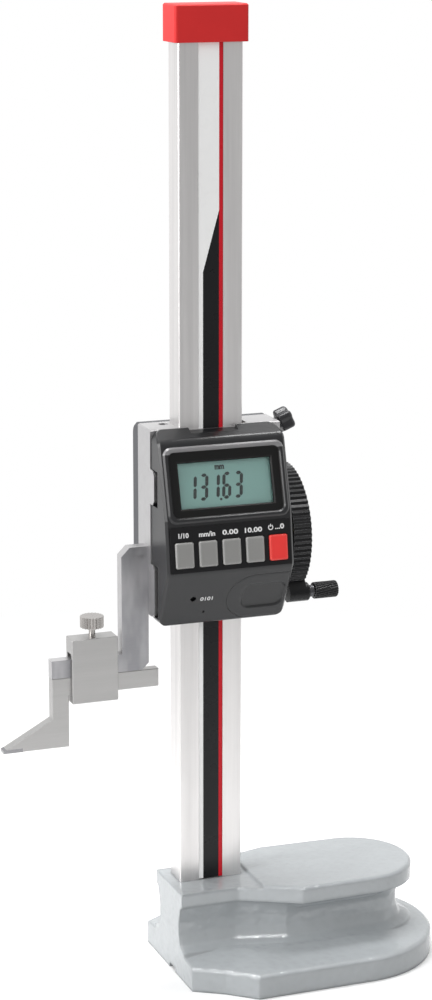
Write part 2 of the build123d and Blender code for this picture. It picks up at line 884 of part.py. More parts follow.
with BuildPart() as shaft_bushes:
    for start, end in (left_bush, right_bush):
        with BuildSketch(side_plane(start, shaft_y, shaft_z)):
            Circle(bush_r)
        extrude(amount=end - start)
    with BuildSketch(side_plane(frame_right, shaft_y, shaft_z)):
        Circle(bush_lip_r)
    extrude(amount=bush_lip_t)
    with BuildSketch(side_plane(left_bush[0], shaft_y, shaft_z)):
        Circle(shaft_r + shaft_fit)
    extrude(amount=2 * frame_w, mode=Mode.SUBTRACT)
save(shaft_bushes, "shaft_bushes")

with BuildPart() as sensor_board:
    with BuildSketch(front_plane(frame_front)):
        with Locations((0, sensor_z)):
            Rectangle(sensor_w, sensor_h)
    extrude(amount=-sensor_t)
save(sensor_board, "sensor_board")


# Handwheel with ribbed rim, web, hub and crank boss
def ribbed(radius, depth, count):
    """Round outline with count pointed ribs."""
    points = []
    for corner in range(2 * count):
        reach = radius - depth * (corner % 2)
        angle = corner * pi / count
        points.append((reach * cos(angle), reach * sin(angle)))
    with BuildSketch() as plan:
        with BuildLine():
            Polyline(*points, close=True)
        make_face()
    return plan.sketch


crank_at = (crank_r * cos(radians(crank_angle)), crank_r * sin(radians(crank_angle)))
ear_r = (crank_r + wheel_r - wheel_rim_t) / 2
ear_at = (ear_r * cos(radians(crank_angle)), ear_r * sin(radians(crank_angle)))

with BuildPart() as handwheel:
    with BuildSketch(side_plane(wheel_in, shaft_y, shaft_z)):
        add(ribbed(wheel_r, wheel_rib_depth, wheel_ribs))
        Circle(wheel_r - wheel_rim_t, mode=Mode.SUBTRACT)
    extrude(amount=wheel_w)
    with BuildSketch(side_plane(wheel_web_in, shaft_y, shaft_z)):
        Circle(wheel_r - wheel_rim_t + 1)
    extrude(amount=wheel_web_t)
    with BuildSketch(side_plane(wheel_hub_in, shaft_y, shaft_z)):
        Circle(wheel_hub_r)
    extrude(amount=wheel_hub_out - wheel_hub_in)
    with BuildSketch(side_plane(wheel_in, shaft_y, shaft_z)):
        with Locations(crank_at):
            Circle(crank_boss_r)
        with Locations(Location(ear_at, crank_angle)):
            Rectangle(crank_r - wheel_r + wheel_rim_t, 2 * crank_boss_r)
    extrude(amount=wheel_w)
    with BuildSketch(side_plane(wheel_in, shaft_y, shaft_z)):
        with Locations(crank_at):
            Circle(crank_boss_r)
    extrude(amount=crank_boss_out - wheel_in)
    chamfer(handwheel.faces().sort_by(Axis.X)[-1].outer_wire().edges(), crank_boss_edge)
    with BuildSketch(side_plane(wheel_hub_in, shaft_y, shaft_z)):
        Circle(shaft_r + screw_fit)
    extrude(amount=wheel_hub_out - wheel_hub_in, mode=Mode.SUBTRACT)
    with BuildSketch(side_plane(crank_boss_out, shaft_y, shaft_z)):
        with Locations(crank_at):
            Circle(crank_axle_r + screw_fit)
    extrude(amount=-crank_root_len - screw_fit, mode=Mode.SUBTRACT)
save(handwheel, "handwheel")

with BuildPart() as pinion_shaft:
    with BuildSketch(side_plane(shaft_left, shaft_y, shaft_z)):
        Circle(shaft_r)
    extrude(amount=shaft_right - shaft_left)
    with BuildSketch(side_plane(shaft_right, shaft_y, shaft_z)):
        Circle(wheel_screw_r + screw_fit)
    extrude(amount=-wheel_screw_hold - 0.5, mode=Mode.SUBTRACT)
save(pinion_shaft, "pinion_shaft")


def flank_angle(radius):
    """Half of a tooth's angle at a radius of the pinion, on an involute flank."""
    base_circle = pitch_r * cos(radians(pressure_angle))
    lean = acos(min(base_circle / radius, 1.0))
    return tooth_half / pitch_r + flank - radians(pressure_angle) - tan(lean) + lean


flank_radii = [root_r, pitch_r, tip_r]

with BuildPart() as pinion:
    with BuildSketch(side_plane(-pinion_w / 2, shaft_y, shaft_z)):
        with BuildLine():
            points = []
            for tooth in range(pinion_teeth):
                middle = pi + tooth * 2 * pi / pinion_teeth
                for radius in flank_radii:
                    angle = middle - flank_angle(radius)
                    points.append((radius * cos(angle), radius * sin(angle)))
                for radius in reversed(flank_radii):
                    angle = middle + flank_angle(radius)
                    points.append((radius * cos(angle), radius * sin(angle)))
            Polyline(*points, close=True)
        make_face()
        Circle(shaft_r + screw_fit, mode=Mode.SUBTRACT)
    extrude(amount=pinion_w)
save(pinion, "pinion")

with BuildPart() as wheel_washer:
    with BuildSketch(side_plane(wheel_hub_out, shaft_y, shaft_z)):
        Circle(wheel_washer_r)
        Circle(wheel_screw_r + screw_fit, mode=Mode.SUBTRACT)
    extrude(amount=wheel_washer_t)
save(wheel_washer, "wheel_washer")

with BuildPart() as wheel_screw:
    seat_x = wheel_hub_out + wheel_washer_t
    shank = seat_x - shaft_right + wheel_screw_hold
    seat = side_plane(seat_x, shaft_y, shaft_z)
    add(head_screw(seat, wheel_screw_r, shank, wheel_screw_head_r, wheel_screw_head_h))
save(wheel_screw, "wheel_screw")

# Crank pin with its knob
with BuildPart() as crank_pin:
    for start, end, radius in (
        (crank_boss_out - crank_root_len, crank_head_in + crank_head_t, crank_axle_r),
        (crank_boss_out, crank_neck_out, crank_neck_r),
        (crank_head_in, crank_head_in + crank_head_t, crank_head_r),
    ):
        with BuildSketch(side_plane(start, crank_y, crank_z)):
            Circle(radius)
        extrude(amount=end - start)
save(crank_pin, "crank_pin")

with BuildPart() as crank_knob:
    with BuildSketch(side_plane(crank_neck_out + knob_end_gap, crank_y, crank_z)):
        Circle(knob_r)
    extrude(amount=knob_len - knob_end_gap)
    chamfer(crank_knob.edges().filter_by(GeomType.CIRCLE), knob_end_edge)
    with BuildSketch(side_plane(crank_neck_out, crank_y, crank_z)):
        Circle(crank_axle_r + shaft_fit)
    extrude(amount=knob_out - crank_neck_out, mode=Mode.SUBTRACT)
    with BuildSketch(side_plane(knob_out, crank_y, crank_z)):
        Circle(crank_head_r + knob_end_gap)
    extrude(amount=crank_head_in - knob_end_gap - knob_out, mode=Mode.SUBTRACT)
save(crank_knob, "crank_knob")

# Lock screw with its lobed knob
knob_base = lock_plane(lock_knob_start)

with BuildPart() as lock_knob:
    with BuildSketch(knob_base):
        Circle(lock_knob_r - lock_lobe_r * 0.55)
        with PolarLocations(lock_knob_r - lock_lobe_r, lock_lobes):
            Circle(lock_lobe_r)
    extrude(amount=lock_knob_t)
    outer_end = lock_knob.faces().sort_by(Axis(knob_base.origin, knob_base.z_dir))[-1]
    chamfer(outer_end.edges(), lock_knob_edge)
    with BuildSketch(knob_base):
        Circle(lock_neck_r)
    extrude(amount=-lock_neck_len)
    with BuildSketch(lock_plane(lock_knob_start - lock_neck_len)):
        Circle(lock_screw_r + screw_fit)
    extrude(amount=lock_neck_len + lock_knob_t - lock_knob_skin, mode=Mode.SUBTRACT)
save(lock_knob, "lock_knob")

with BuildPart() as lock_screw:
    with BuildSketch(lock_plane(shoe_len)):
        Circle(lock_screw_r)
    extrude(amount=lock_knob_start + lock_knob_t - lock_knob_skin - shoe_len - screw_fit)
save(lock_screw, "lock_screw")

# Scriber with its carbide measuring tip
leg_right = jaw_left + leg_w
toe_rise = (toe_top - face_reading - toe_nose) / (jaw_left - toe_left)
tip_top = face_reading + tip_h
tip_cut_x = toe_left + (tip_h - toe_nose) / toe_rise
tip_right = toe_left + tip_len

with BuildPart() as scriber:
    with BuildSketch(front_plane(jaw_front)):
        with BuildLine():
            Polyline(
                (shank_right, shank_bottom),
                (shank_right, shank_top),
                (jaw_left, shank_top),
                (jaw_left, toe_top),
                (tip_cut_x, tip_top),
                (tip_right, tip_top),
                (tip_right, face_reading),
                (leg_right, face_reading),
                (leg_right, shank_bottom),
                close=True,
            )
        make_face()
    extrude(amount=-jaw_t)
    long_edges = scriber.edges().filter_by(lambda edge: edge.length > jaw_t + 0.1)
    chamfer(long_edges.filter_by(lambda edge: edge.bounding_box().max.X > jaw_left - 1), scriber_edge)
save(scriber, "scriber")

with BuildPart() as carbide_tip:
    with BuildSketch(front_plane(jaw_front)):
        with BuildLine():
            Polyline(
                (toe_left, face_reading),
                (tip_right, face_reading),
                (tip_right, tip_top),
                (tip_cut_x, tip_top),
                (toe_left, face_reading + toe_nose),
                close=True,
            )
        make_face()
    extrude(amount=-jaw_t)
save(carbide_tip, "carbide_tip")

# Clamp box round the jaw and the scriber, with its thumb screw
clamp_mid_x = (clamp_left + clamp_right) / 2
window_bottom = shank_bottom - clamp_seat
window_top = jaw_top + clamp_play
clamp_bottom = window_bottom - clamp_floor
clamp_top = window_top + clamp_roof
clamp_front = jaw_front - jaw_fit - clamp_wall
clamp_back = jaw_front + jaw_t + jaw_fit + clamp_wall

with BuildPart() as scriber_clamp:
    with BuildSketch(Plane.XY.offset(clamp_bottom)):
        with Locations((clamp_mid_x, (clamp_front + clamp_back) / 2)):
            Rectangle(clamp_right - clamp_left, clamp_back - clamp_front)
    extrude(amount=clamp_top - clamp_bottom)
    chamfer(scriber_clamp.edges(), clamp_edge)
    with BuildSketch(side_plane(clamp_left, jaw_front + jaw_t / 2, (window_bottom + window_top) / 2)):
        Rectangle(jaw_t + 2 * jaw_fit, window_top - window_bottom)
    extrude(amount=clamp_right - clamp_left, mode=Mode.SUBTRACT)
    with BuildSketch(Plane.XY.offset(window_top)):
        with Locations((clamp_mid_x, jaw_front + jaw_t / 2)):
            Circle(thumb_r + shaft_fit)
    extrude(amount=clamp_roof, mode=Mode.SUBTRACT)
save(scriber_clamp, "scriber_clamp")

with BuildPart() as clamp_thumbscrew:
    with BuildSketch(Plane((clamp_mid_x, jaw_front + jaw_t / 2, jaw_top + clamp_seat))):
        Circle(thumb_r)
    extrude(amount=clamp_top + thumb_neck - jaw_top - clamp_seat)
    with BuildSketch(Plane((clamp_mid_x, jaw_front + jaw_t / 2, clamp_top + thumb_neck))):
        add(ribbed(thumb_head_r, thumb_rib_depth, thumb_ribs))
    extrude(amount=thumb_head_h)
save(clamp_thumbscrew, "clamp_thumbscrew")

# Display housing: profile along X, met by the rounded outline seen from the front
housing_mid_x = (housing_left + housing_right) / 2
housing_w = housing_right - housing_left


def profile(back_y):
    """Side profile of the housing, open towards the carriage at back_y."""
    run = (housing_front_z - frame_top) / (housing_front_y - frame_front)
    with BuildSketch() as plan:
        with BuildLine():
            Polyline(
                (back_y, frame_top + run * (back_y - frame_front)),
                display_top,
                keypad_top,
                chin_top,
                chin_end,
                (back_y, housing_bottom),
                close=True,
            )
        make_face()
    return plan.sketch


with BuildPart() as housing_body:
    with BuildSketch(side_plane(housing_left)):
        add(profile(frame_front))
    extrude(amount=housing_w)
    for point, radius in (
        (display_top, housing_top_round),
        (chin_top, housing_chin_round),
        (chin_end, housing_low_round),
    ):
        near = Vector(housing_mid_x, *point)
        fillet(housing_body.edges().filter_by(Axis.X).sort_by_distance(near)[0], radius)
    sides = housing_body.faces().filter_by(Axis.X)
    side_edges = [edge for edge in sides.edges() if edge.bounding_box().min.Y < frame_front - 0.1]
    chamfer(side_edges, housing_side_edge)
    with BuildSketch(front_plane(frame_front)) as front_outline:
        with Locations((housing_mid_x, (frame_top + housing_bottom) / 2)):
            Rectangle(housing_w, frame_top - housing_bottom)
        fillet(front_outline.vertices().group_by(Axis.Z)[0], housing_low_corner)
        fillet(front_outline.vertices().group_by(Axis.Z)[-1], housing_top_corner)
    extrude(amount=housing_reach, mode=Mode.INTERSECT)


def door_outline(grow):
    """D shape of the battery door, round to the left and straight to the right end."""
    radius = door_round_r + grow
    with BuildSketch() as plan:
        with Locations((door_mid_x, 0)):
            Circle(radius)
        with Locations(((door_mid_x + housing_right + 1) / 2, 0)):
            Rectangle(housing_right + 1 - door_mid_x, 2 * radius)
    return plan.sketch


door_seat = door_t + door_gap
battery_back = door_seat + door_gap + battery_t
cup_floor = battery_back + contact_t
panel_rise = panel_t - panel_sink
tongue_right = door_mid_x - door_round_r + 1
tongue_left = door_mid_x - door_round_r - door_tongue_len
lip_back = housing_wall + key_lip_t
mat_back = lip_back + key_travel + key_stop_gap + mat_t

# Space inside the housing, with the screw bosses and the battery well left standing
with BuildPart() as cavity:
    with BuildSketch(side_plane(housing_left + housing_wall)):
        add(profile(frame_front + housing_wall + 1))
        offset(amount=-housing_wall, kind=Kind.INTERSECTION)
    extrude(amount=housing_w - 2 * housing_wall)
    with BuildSketch(front_plane(frame_front + 2)) as inner_outline:
        with Locations((housing_mid_x, (frame_top + housing_bottom) / 2)):
            Rectangle(housing_w - 2 * housing_wall, frame_top - housing_bottom)
        fillet(inner_outline.vertices().group_by(Axis.Z)[0], housing_low_corner)
    extrude(amount=housing_reach, mode=Mode.INTERSECT)
    for x, wall_x in zip(housing_screw_xs, (housing_left, housing_right)):
        with BuildSketch(front_plane(frame_front + 2)):
            with Locations((x, housing_screw_z)):
                Circle(boss_r)
            with Locations(((x + wall_x) / 2, housing_screw_z)):
                Rectangle(abs(wall_x - x), boss_r)
        extrude(amount=2 + boss_reach, mode=Mode.SUBTRACT)
    with BuildSketch(chin_plane(battery_x, door_down)):
        Circle(battery_r + battery_room + cup_wall)
    extrude(amount=-cup_floor - cup_wall, mode=Mode.SUBTRACT)
    with BuildSketch(chin_plane(0, door_down)):
        add(door_outline(door_ledge))
    extrude(amount=-door_seat - cup_wall, mode=Mode.SUBTRACT)

with BuildPart() as display_housing:
    add(housing_body.part)
    # Raised band round the display
    with BuildSketch(display_plane(face_mid_x, ridge_down, ridge_root)):
        RectangleRounded(ridge_w, ridge_h, ridge_corner)
        RectangleRounded(
            ridge_w - 2 * ridge_band, ridge_h - 2 * ridge_band, ridge_corner - ridge_band / 2,
            mode=Mode.SUBTRACT,
        )
    extrude(amount=ridge_root + ridge_rise)
    top = display_plane(face_mid_x, ridge_down, -ridge_rise)
    crest = [f for f in display_housing.faces() if abs(top.to_local_coords(f.center()).Z) < 0.01]
    chamfer(crest[0].edges(), ridge_edge)
    add(cavity.part, mode=Mode.SUBTRACT)
    # Display window, bevelled inwards
    with BuildSketch(display_plane(lcd_x, lcd_down)):
        Rectangle(lcd_w, lcd_h)
    extrude(amount=-housing_wall - 1, mode=Mode.SUBTRACT)
    with BuildSketch(display_plane(lcd_x, lcd_down)):
        Rectangle(lcd_w + 2 * lcd_bevel, lcd_h + 2 * lcd_bevel)
    extrude(amount=-lcd_bevel, taper=45, mode=Mode.SUBTRACT)
    # Seat of the keypad panel and the key openings
    with BuildSketch(keypad_plane(face_mid_x, panel_down)):
        Rectangle(panel_w + 2 * seat_gap, panel_h + 2 * seat_gap)
    extrude(amount=-panel_sink, mode=Mode.SUBTRACT)
    with BuildSketch(keypad_plane(key_mid_x, key_down)):
        with GridLocations(key_pitch, 0, key_count, 1):
            Rectangle(key_w + 2 * key_gap, key_h + 2 * key_gap)
    extrude(amount=-housing_wall - 0.5, mode=Mode.SUBTRACT)
    # Seat of the battery door, the pocket for its tongue and the battery well
    with BuildSketch(chin_plane(0, door_down)):
        add(door_outline(door_gap))
    extrude(amount=-door_seat, mode=Mode.SUBTRACT)
    with BuildSketch(chin_plane(0, door_down, door_seat)):
        with Locations(((tongue_left - door_gap + door_mid_x) / 2, 0)):
            Rectangle(door_mid_x - tongue_left + door_gap, door_tongue_w + 2 * door_gap)
    extrude(amount=door_tongue_t + 2 * door_gap, mode=Mode.SUBTRACT)
    with BuildSketch(chin_plane(battery_x, door_down)):
        Circle(battery_r + battery_room)
    extrude(amount=-cup_floor, mode=Mode.SUBTRACT)
    # Holes of the data jack and of the reset pin
    with BuildSketch(chin_plane(data_x, data_down)):
        Circle(data_r)
    extrude(amount=-housing_wall - 0.5, mode=Mode.SUBTRACT)
    with BuildSketch(chin_plane(reset_x, reset_down)):
        Circle(reset_r)
    extrude(amount=-housing_wall - 0.5, mode=Mode.SUBTRACT)
    # Notches for the frame's lugs
    for low, high in lug_zs:
        with BuildSketch(front_plane(frame_front + 1)):
            with Locations((housing_left, (low + high) / 2)):
                Rectangle(2 * housing_wall, high - low + 2 * lug_gap)
        extrude(amount=1 + lug_reach + lug_front_gap, mode=Mode.SUBTRACT)
    # Dip in the top where the scale is read
    run = (housing_front_z - frame_top) / (housing_front_y - frame_front)
    with BuildSketch(side_plane(-scoop_half)):
        with BuildLine():
            Polyline(
                (frame_front + 1, frame_top - scoop_depth),
                (frame_front, frame_top - scoop_depth),
                (frame_front - scoop_len, frame_top - run * scoop_len),
                (frame_front - scoop_len, frame_top + 1),
                (frame_front + 1, frame_top + 1),
                close=True,
            )
        make_face()
    extrude(amount=2 * scoop_half, mode=Mode.SUBTRACT)
    # Holes for the screws that come through the frame
    with BuildSketch(front_plane(frame_front)):
        with Locations(*[(x, housing_screw_z) for x in housing_screw_xs]):
            Circle(housing_screw_r + screw_fit)
    extrude(amount=housing_screw_hold + 0.5, mode=Mode.SUBTRACT)
save(display_housing, "display_housing")

housing_screw_top = frame_back - housing_screw_drop

with BuildPart() as housing_screws:
    for x in housing_screw_xs:
        flush = back_plane(housing_screw_top, x, housing_screw_z)
        shank = housing_screw_top - frame_front + housing_screw_hold
        add(sunk_screw(flush, housing_screw_r, shank, housing_screw_head_r))
save(housing_screws, "housing_screws")

# Display behind its window
lens_w = lcd_w + 2 * lens_margin
lens_h = lcd_h + 2 * lens_margin

with BuildPart() as display_lens:
    with BuildSketch(display_plane(lcd_x, lcd_down, housing_wall)):
        Rectangle(lens_w, lens_h)
    extrude(amount=-lens_t)
save(display_lens, "display_lens")

with BuildPart() as lcd_module:
    with BuildSketch(display_plane(lcd_x, lcd_down, housing_wall + lens_t + lcd_gap)):
        Rectangle(lens_w, lens_h)
    extrude(amount=-lcd_t)
save(lcd_module, "lcd_module")

# Keypad: panel, sprung mat, circuit board and five keys
with BuildPart() as keypad_panel:
    with BuildSketch(keypad_plane(face_mid_x, panel_down, panel_sink)):
        Rectangle(panel_w, panel_h)
    extrude(amount=panel_t)
    with BuildSketch(keypad_plane(key_mid_x, key_down, panel_sink)) as windows:
        with GridLocations(key_pitch, 0, key_count, 1):
            Rectangle(key_w + 2 * key_gap, key_h + 2 * key_gap)
        chamfer(windows.vertices(), key_corner)
    extrude(amount=panel_t, mode=Mode.SUBTRACT)
save(keypad_panel, "keypad_panel")

with BuildPart() as keypad_mat:
    with BuildSketch(keypad_plane(key_mid_x, key_down, mat_back)):
        Rectangle(mat_w, mat_h)
    extrude(amount=mat_back - housing_wall)
    with BuildSketch(keypad_plane(key_mid_x, key_down, housing_wall)):
        with GridLocations(key_pitch, 0, key_count, 1):
            Rectangle(key_w + 2 * key_lip + 2 * key_gap, key_h + 2 * key_lip + 2 * key_gap)
    extrude(amount=-mat_back + mat_t + housing_wall, mode=Mode.SUBTRACT)
save(keypad_mat, "keypad_mat")

with BuildPart() as key_board:
    with BuildSketch(keypad_plane(key_mid_x, key_down, mat_back + board_t)):
        Rectangle(mat_w, mat_h)
    extrude(amount=board_t)
save(key_board, "key_board")

for index, name in enumerate(key_names):
    key_x = key_mid_x + (index - (key_count - 1) / 2) * key_pitch
    with BuildPart() as key:
        with BuildSketch(keypad_plane(key_x, key_down, lip_back)):
            Rectangle(key_w + 2 * key_lip, key_h + 2 * key_lip)
        extrude(amount=key_lip_t)
        with BuildSketch(keypad_plane(key_x, key_down, housing_wall)) as key_top:
            Rectangle(key_w, key_h)
            chamfer(key_top.vertices(), key_corner)
        extrude(amount=housing_wall + panel_rise + key_proud)
        top = keypad_plane(key_x, key_down)
        chamfer(key.faces().sort_by(Axis(top.origin, top.z_dir))[-1].edges(), key_crown)
    save(key, name)

# Battery, its door and its contact strip
with BuildPart() as battery:
    with BuildSketch(chin_plane(battery_x, door_down, battery_back)):
        Circle(battery_r)
    extrude(amount=battery_t)
save(battery, "battery")

with BuildPart() as battery_contacts:
    with BuildSketch(chin_plane(battery_x, door_down, cup_floor)):
        Rectangle(contact_len, contact_w)
    extrude(amount=contact_t)
save(battery_contacts, "battery_contacts")

with BuildPart() as battery_door:
    with BuildSketch(chin_plane(0, door_down, door_t)):
        add(door_outline(0))
    extrude(amount=2 * door_t)
    add(housing_body.part, mode=Mode.INTERSECT)
    with BuildSketch(chin_plane(0, door_down, door_t)):
        with Locations(((tongue_left + tongue_right) / 2, 0)):
            Rectangle(tongue_right - tongue_left, door_tongue_w)
    extrude(amount=door_tongue_t)
    with BuildSketch(chin_plane(dent_x, door_down)):
        RectangleRounded(dent_w, dent_h, dent_corner)
    extrude(amount=-dent_depth, taper=dent_taper, mode=Mode.SUBTRACT)
save(battery_door, "battery_door")

with BuildPart() as data_jack:
    with BuildSketch(chin_plane(data_x, data_down, housing_wall)):
        Circle(jack_r)
    extrude(amount=-jack_len)
    with BuildSketch(chin_plane(data_x, data_down, housing_wall)):
        Circle(jack_bore_r)
    extrude(amount=-jack_len + 1, mode=Mode.SUBTRACT)
save(data_jack, "data_jack")
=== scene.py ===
# %% [markdown]
# # Digital height gauge
# The gauge stands on a painted cast base. A ground steel column carries a printed scale, and a
# geared carriage with a display, a handwheel and a scriber slides on it.
# The solids come from the packed frame. Each gets a finish made of shader nodes, and the few
# pieces that a solid can't show well, such as printing, display digits and a fluted grip, are
# meshes made here. Blender works in metres, and small pieces are easier to think of in
# millimetres, so two named factors lead from one to the other.

# %% Load the packed frame
import json
import math

import bmesh
import bpy
from mathutils import Matrix, Vector


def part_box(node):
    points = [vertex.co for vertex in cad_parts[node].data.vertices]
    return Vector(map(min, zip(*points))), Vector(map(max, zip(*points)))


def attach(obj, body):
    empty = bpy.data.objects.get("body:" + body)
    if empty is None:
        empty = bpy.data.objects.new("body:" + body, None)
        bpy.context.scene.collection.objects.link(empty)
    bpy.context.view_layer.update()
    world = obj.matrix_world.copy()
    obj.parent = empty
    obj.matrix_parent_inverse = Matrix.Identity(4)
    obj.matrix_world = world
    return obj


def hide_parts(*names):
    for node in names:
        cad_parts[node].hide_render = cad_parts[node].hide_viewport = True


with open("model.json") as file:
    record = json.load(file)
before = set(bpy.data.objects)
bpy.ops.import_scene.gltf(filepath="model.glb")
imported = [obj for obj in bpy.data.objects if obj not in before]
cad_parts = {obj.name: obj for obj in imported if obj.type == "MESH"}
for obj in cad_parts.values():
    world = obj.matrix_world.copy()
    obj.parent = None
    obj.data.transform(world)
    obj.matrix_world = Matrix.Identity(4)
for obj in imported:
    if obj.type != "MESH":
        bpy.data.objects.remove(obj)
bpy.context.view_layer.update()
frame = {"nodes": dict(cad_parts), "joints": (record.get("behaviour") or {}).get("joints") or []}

mm = 0.001
in_mm = 1000
solids = frame["nodes"]

# %% [markdown]
# ## Shader maths as plain expressions
# A finish is a small graph of nodes. Written out link by link it is hard to read, so a Flow
# stands for a node's output and adds a Math node when it is used in a sum or a product.
# The reflected forms are there so that 1 - mask works as well as mask - 1.


# %% A node's output that can be used in sums
class Flow:
    def __init__(self, graph, socket):
        self.graph = graph
        self.socket = socket

    def maths(self, operation, first, second):
        return self.graph.node("ShaderNodeMath", {"operation": operation}, {0: first, 1: second})

    def __add__(self, other):
        return self.maths("ADD", self, other)

    def __sub__(self, other):
        return self.maths("SUBTRACT", self, other)

    def __rsub__(self, other):
        return self.maths("SUBTRACT", other, self)

    def __mul__(self, other):
        return self.maths("MULTIPLY", self, other)

    def __gt__(self, other):
        return self.maths("GREATER_THAN", self, other)

    def __lt__(self, other):
        return self.maths("LESS_THAN", self, other)

    __radd__ = __add__
    __rmul__ = __mul__


print("a Flow can be added, subtracted, multiplied and compared")

# %% [markdown]
# ## A graph of nodes
# Materials and the sky are both node trees, so one method makes every node: it takes the node's
# type, its settings and its inputs. An input is a plain value or another node's Flow.


# %% The graph class
class Graph:
    def __init__(self, tree):
        self.tree = tree

    def node(self, kind, settings=None, inputs=None, output=0):
        made = self.tree.nodes.new(kind)
        for setting, value in (settings or {}).items():
            setattr(made, setting, value)
        for socket, value in (inputs or {}).items():
            if isinstance(value, Flow):
                self.tree.links.new(value.socket, made.inputs[socket])
            else:
                made.inputs[socket].default_value = value
        return Flow(self, made.outputs[output])

    def between(self, value, low, high, out_low=0.0, out_high=1.0):
        """The value's way from low to high, laid over another span and held inside it."""
        inputs = {"Value": value, "From Min": low, "From Max": high, "To Min": out_low, "To Max": out_high}
        return self.node("ShaderNodeMapRange", {"clamp": True}, inputs)

    def mixed(self, share, first, second):
        settings = {"data_type": "RGBA"}
        return self.node("ShaderNodeMix", settings, {0: share, 6: first, 7: second}, output=2)

    def vector_maths(self, operation, first, second, output=0):
        settings = {"operation": operation}
        return self.node("ShaderNodeVectorMath", settings, {0: first, 1: second}, output)

    def ray(self, *kinds):
        """1 where the ray is of one of these kinds, such as Camera or Glossy, and 0 elsewhere."""
        share = 0.0
        for kind in kinds:
            share = self.node("ShaderNodeLightPath", output=f"Is {kind} Ray") + share
        return self.between(share, 0.0, 1.0)


print("graph methods:", [name for name in vars(Graph) if not name.startswith("_")])

# %% [markdown]
# ## A finish
# Each finish owns one material. Values that are the same all over are set straight on the
# shader, and `varies` feeds what changes over the surface. Textures use object coordinates: a
# solid's object sits at the origin, so a coordinate is the real place in metres and the pattern
# stays on the moving piece. `soft` rounds hard edges in the shading, as deburring does.
# A noise texture keeps mostly to the middle of its range, so `from_noise` stretches that middle
# over the values that are wanted.


# %% The finish class
class Finish(Graph):
    soft_samples, edge_samples = 6, 4
    flat_lean, sharp_lean = 0.02, 0.16
    noise_low, noise_high = 0.3, 0.7
    made = []

    def __init__(self, name, colour, roughness, metallic=0.0, soft=0.0, **fixed):
        self.material = bpy.data.materials.new(name)
        self.material.use_nodes = True
        super().__init__(self.material.node_tree)
        self.shader = self.tree.nodes["Principled BSDF"]
        self.colour = (*colour, 1.0)
        self.fixed("Base Color", self.colour)
        self.fixed("Roughness", roughness)
        self.fixed("Metallic", metallic)
        for socket, value in fixed.items():
            self.fixed(socket.replace("_", " "), value)
        self.place = self.node("ShaderNodeTexCoord", output="Object")
        self.rounded = None
        if soft:
            self.rounded = self.node("ShaderNodeBevel", {"samples": self.soft_samples}, {"Radius": soft})
        self.made.append(name)

    def fixed(self, socket, value):
        self.shader.inputs[socket].default_value = value

    def varies(self, socket, flow):
        self.tree.links.new(flow.socket, self.shader.inputs[socket])

    def along(self, direction, origin=(0, 0, 0)):
        """How far the surface lies from a point along a direction, in metres."""
        offset = self.vector_maths("SUBTRACT", self.place, tuple(origin))
        return self.vector_maths("DOT_PRODUCT", offset, tuple(direction), output="Value")

    def facing(self, direction, normal=None):
        """How squarely the surface, or a given normal, faces a direction, from -1 to 1."""
        normal = normal or self.node("ShaderNodeNewGeometry", output="Normal")
        return self.vector_maths("DOT_PRODUCT", normal, direction, output="Value")

    def noise(self, scale, stretch=(1, 1, 1), detail=3.0, roughness=0.55):
        drawn = self.node("ShaderNodeMapping", inputs={"Vector": self.place, "Scale": stretch})
        inputs = {"Vector": drawn, "Scale": scale, "Detail": detail, "Roughness": roughness}
        return self.node("ShaderNodeTexNoise", inputs=inputs)

    def from_noise(self, noise, low, high):
        return self.between(noise, self.noise_low, self.noise_high, low, high)

    def tone(self, share, gain_low, gain_high):
        """The base colour made darker and lighter by a texture."""
        low = tuple(min(part * gain_low, 1.0) for part in self.colour[:3]) + (1.0,)
        high = tuple(min(part * gain_high, 1.0) for part in self.colour[:3]) + (1.0,)
        return self.mixed(share, low, high)

    def bump(self, height, distance, strength=1.0, below=None):
        inputs = {"Height": height, "Distance": distance, "Strength": strength}
        below = below or self.rounded
        if below is not None:
            inputs["Normal"] = below
        return self.node("ShaderNodeBump", inputs=inputs)

    def edges(self, radius):
        """1 on sharp edges and 0 on the flats, from how far a rounded normal leans."""
        rounded = self.node("ShaderNodeBevel", {"samples": self.edge_samples}, {"Radius": radius})
        flat = self.node("ShaderNodeNewGeometry", output="Normal")
        return self.between(1 - self.facing(flat, rounded), self.flat_lean, self.sharp_lean)


print("a finish adds:", [name for name in vars(Finish) if not name.startswith("_")])

# %% [markdown]
# ## Ground and brushed steel
# The column, frame and scriber are ground steel: the wheel leaves long fine lines in one
# direction. A noise texture squeezed across that direction gives those lines. They go into
# roughness and a very shallow bump, because a picture of scratches in the colour looks painted.
# Broad bands of the same noise make the colour a little lighter and darker, and rubbed edges
# are brighter and smoother.


# %% Ground steel with lines along one axis
def ground_steel(name, colour, roughness, lines, edge_share=0.12, streaks=0.08):
    line_spread, cloud_spread, rubbed_smoother = 0.07, 0.05, 0.08
    rubbed_colour = (0.9, 0.89, 0.88, 1)
    finish = Finish(name, colour, roughness, metallic=1.0)
    fine = finish.noise(scale=1.0, stretch=lines, detail=4.0)
    broad = finish.noise(scale=0.09, stretch=lines)
    cloud = finish.noise(scale=18.0, detail=2.0)
    edge_mask = finish.edges(radius=0.5 * mm)
    streaked = finish.tone(broad, 1 - streaks, 1 + streaks)
    finish.body = finish.mixed(edge_mask * edge_share, streaked, rubbed_colour)
    lined = finish.from_noise(fine, roughness - line_spread, roughness + line_spread)
    finish.varies("Base Color", finish.body)
    finish.varies("Roughness", lined + cloud * cloud_spread - edge_mask * rubbed_smoother)
    finish.varies("Normal", finish.bump(fine, distance=0.02 * mm, strength=0.35))
    return finish


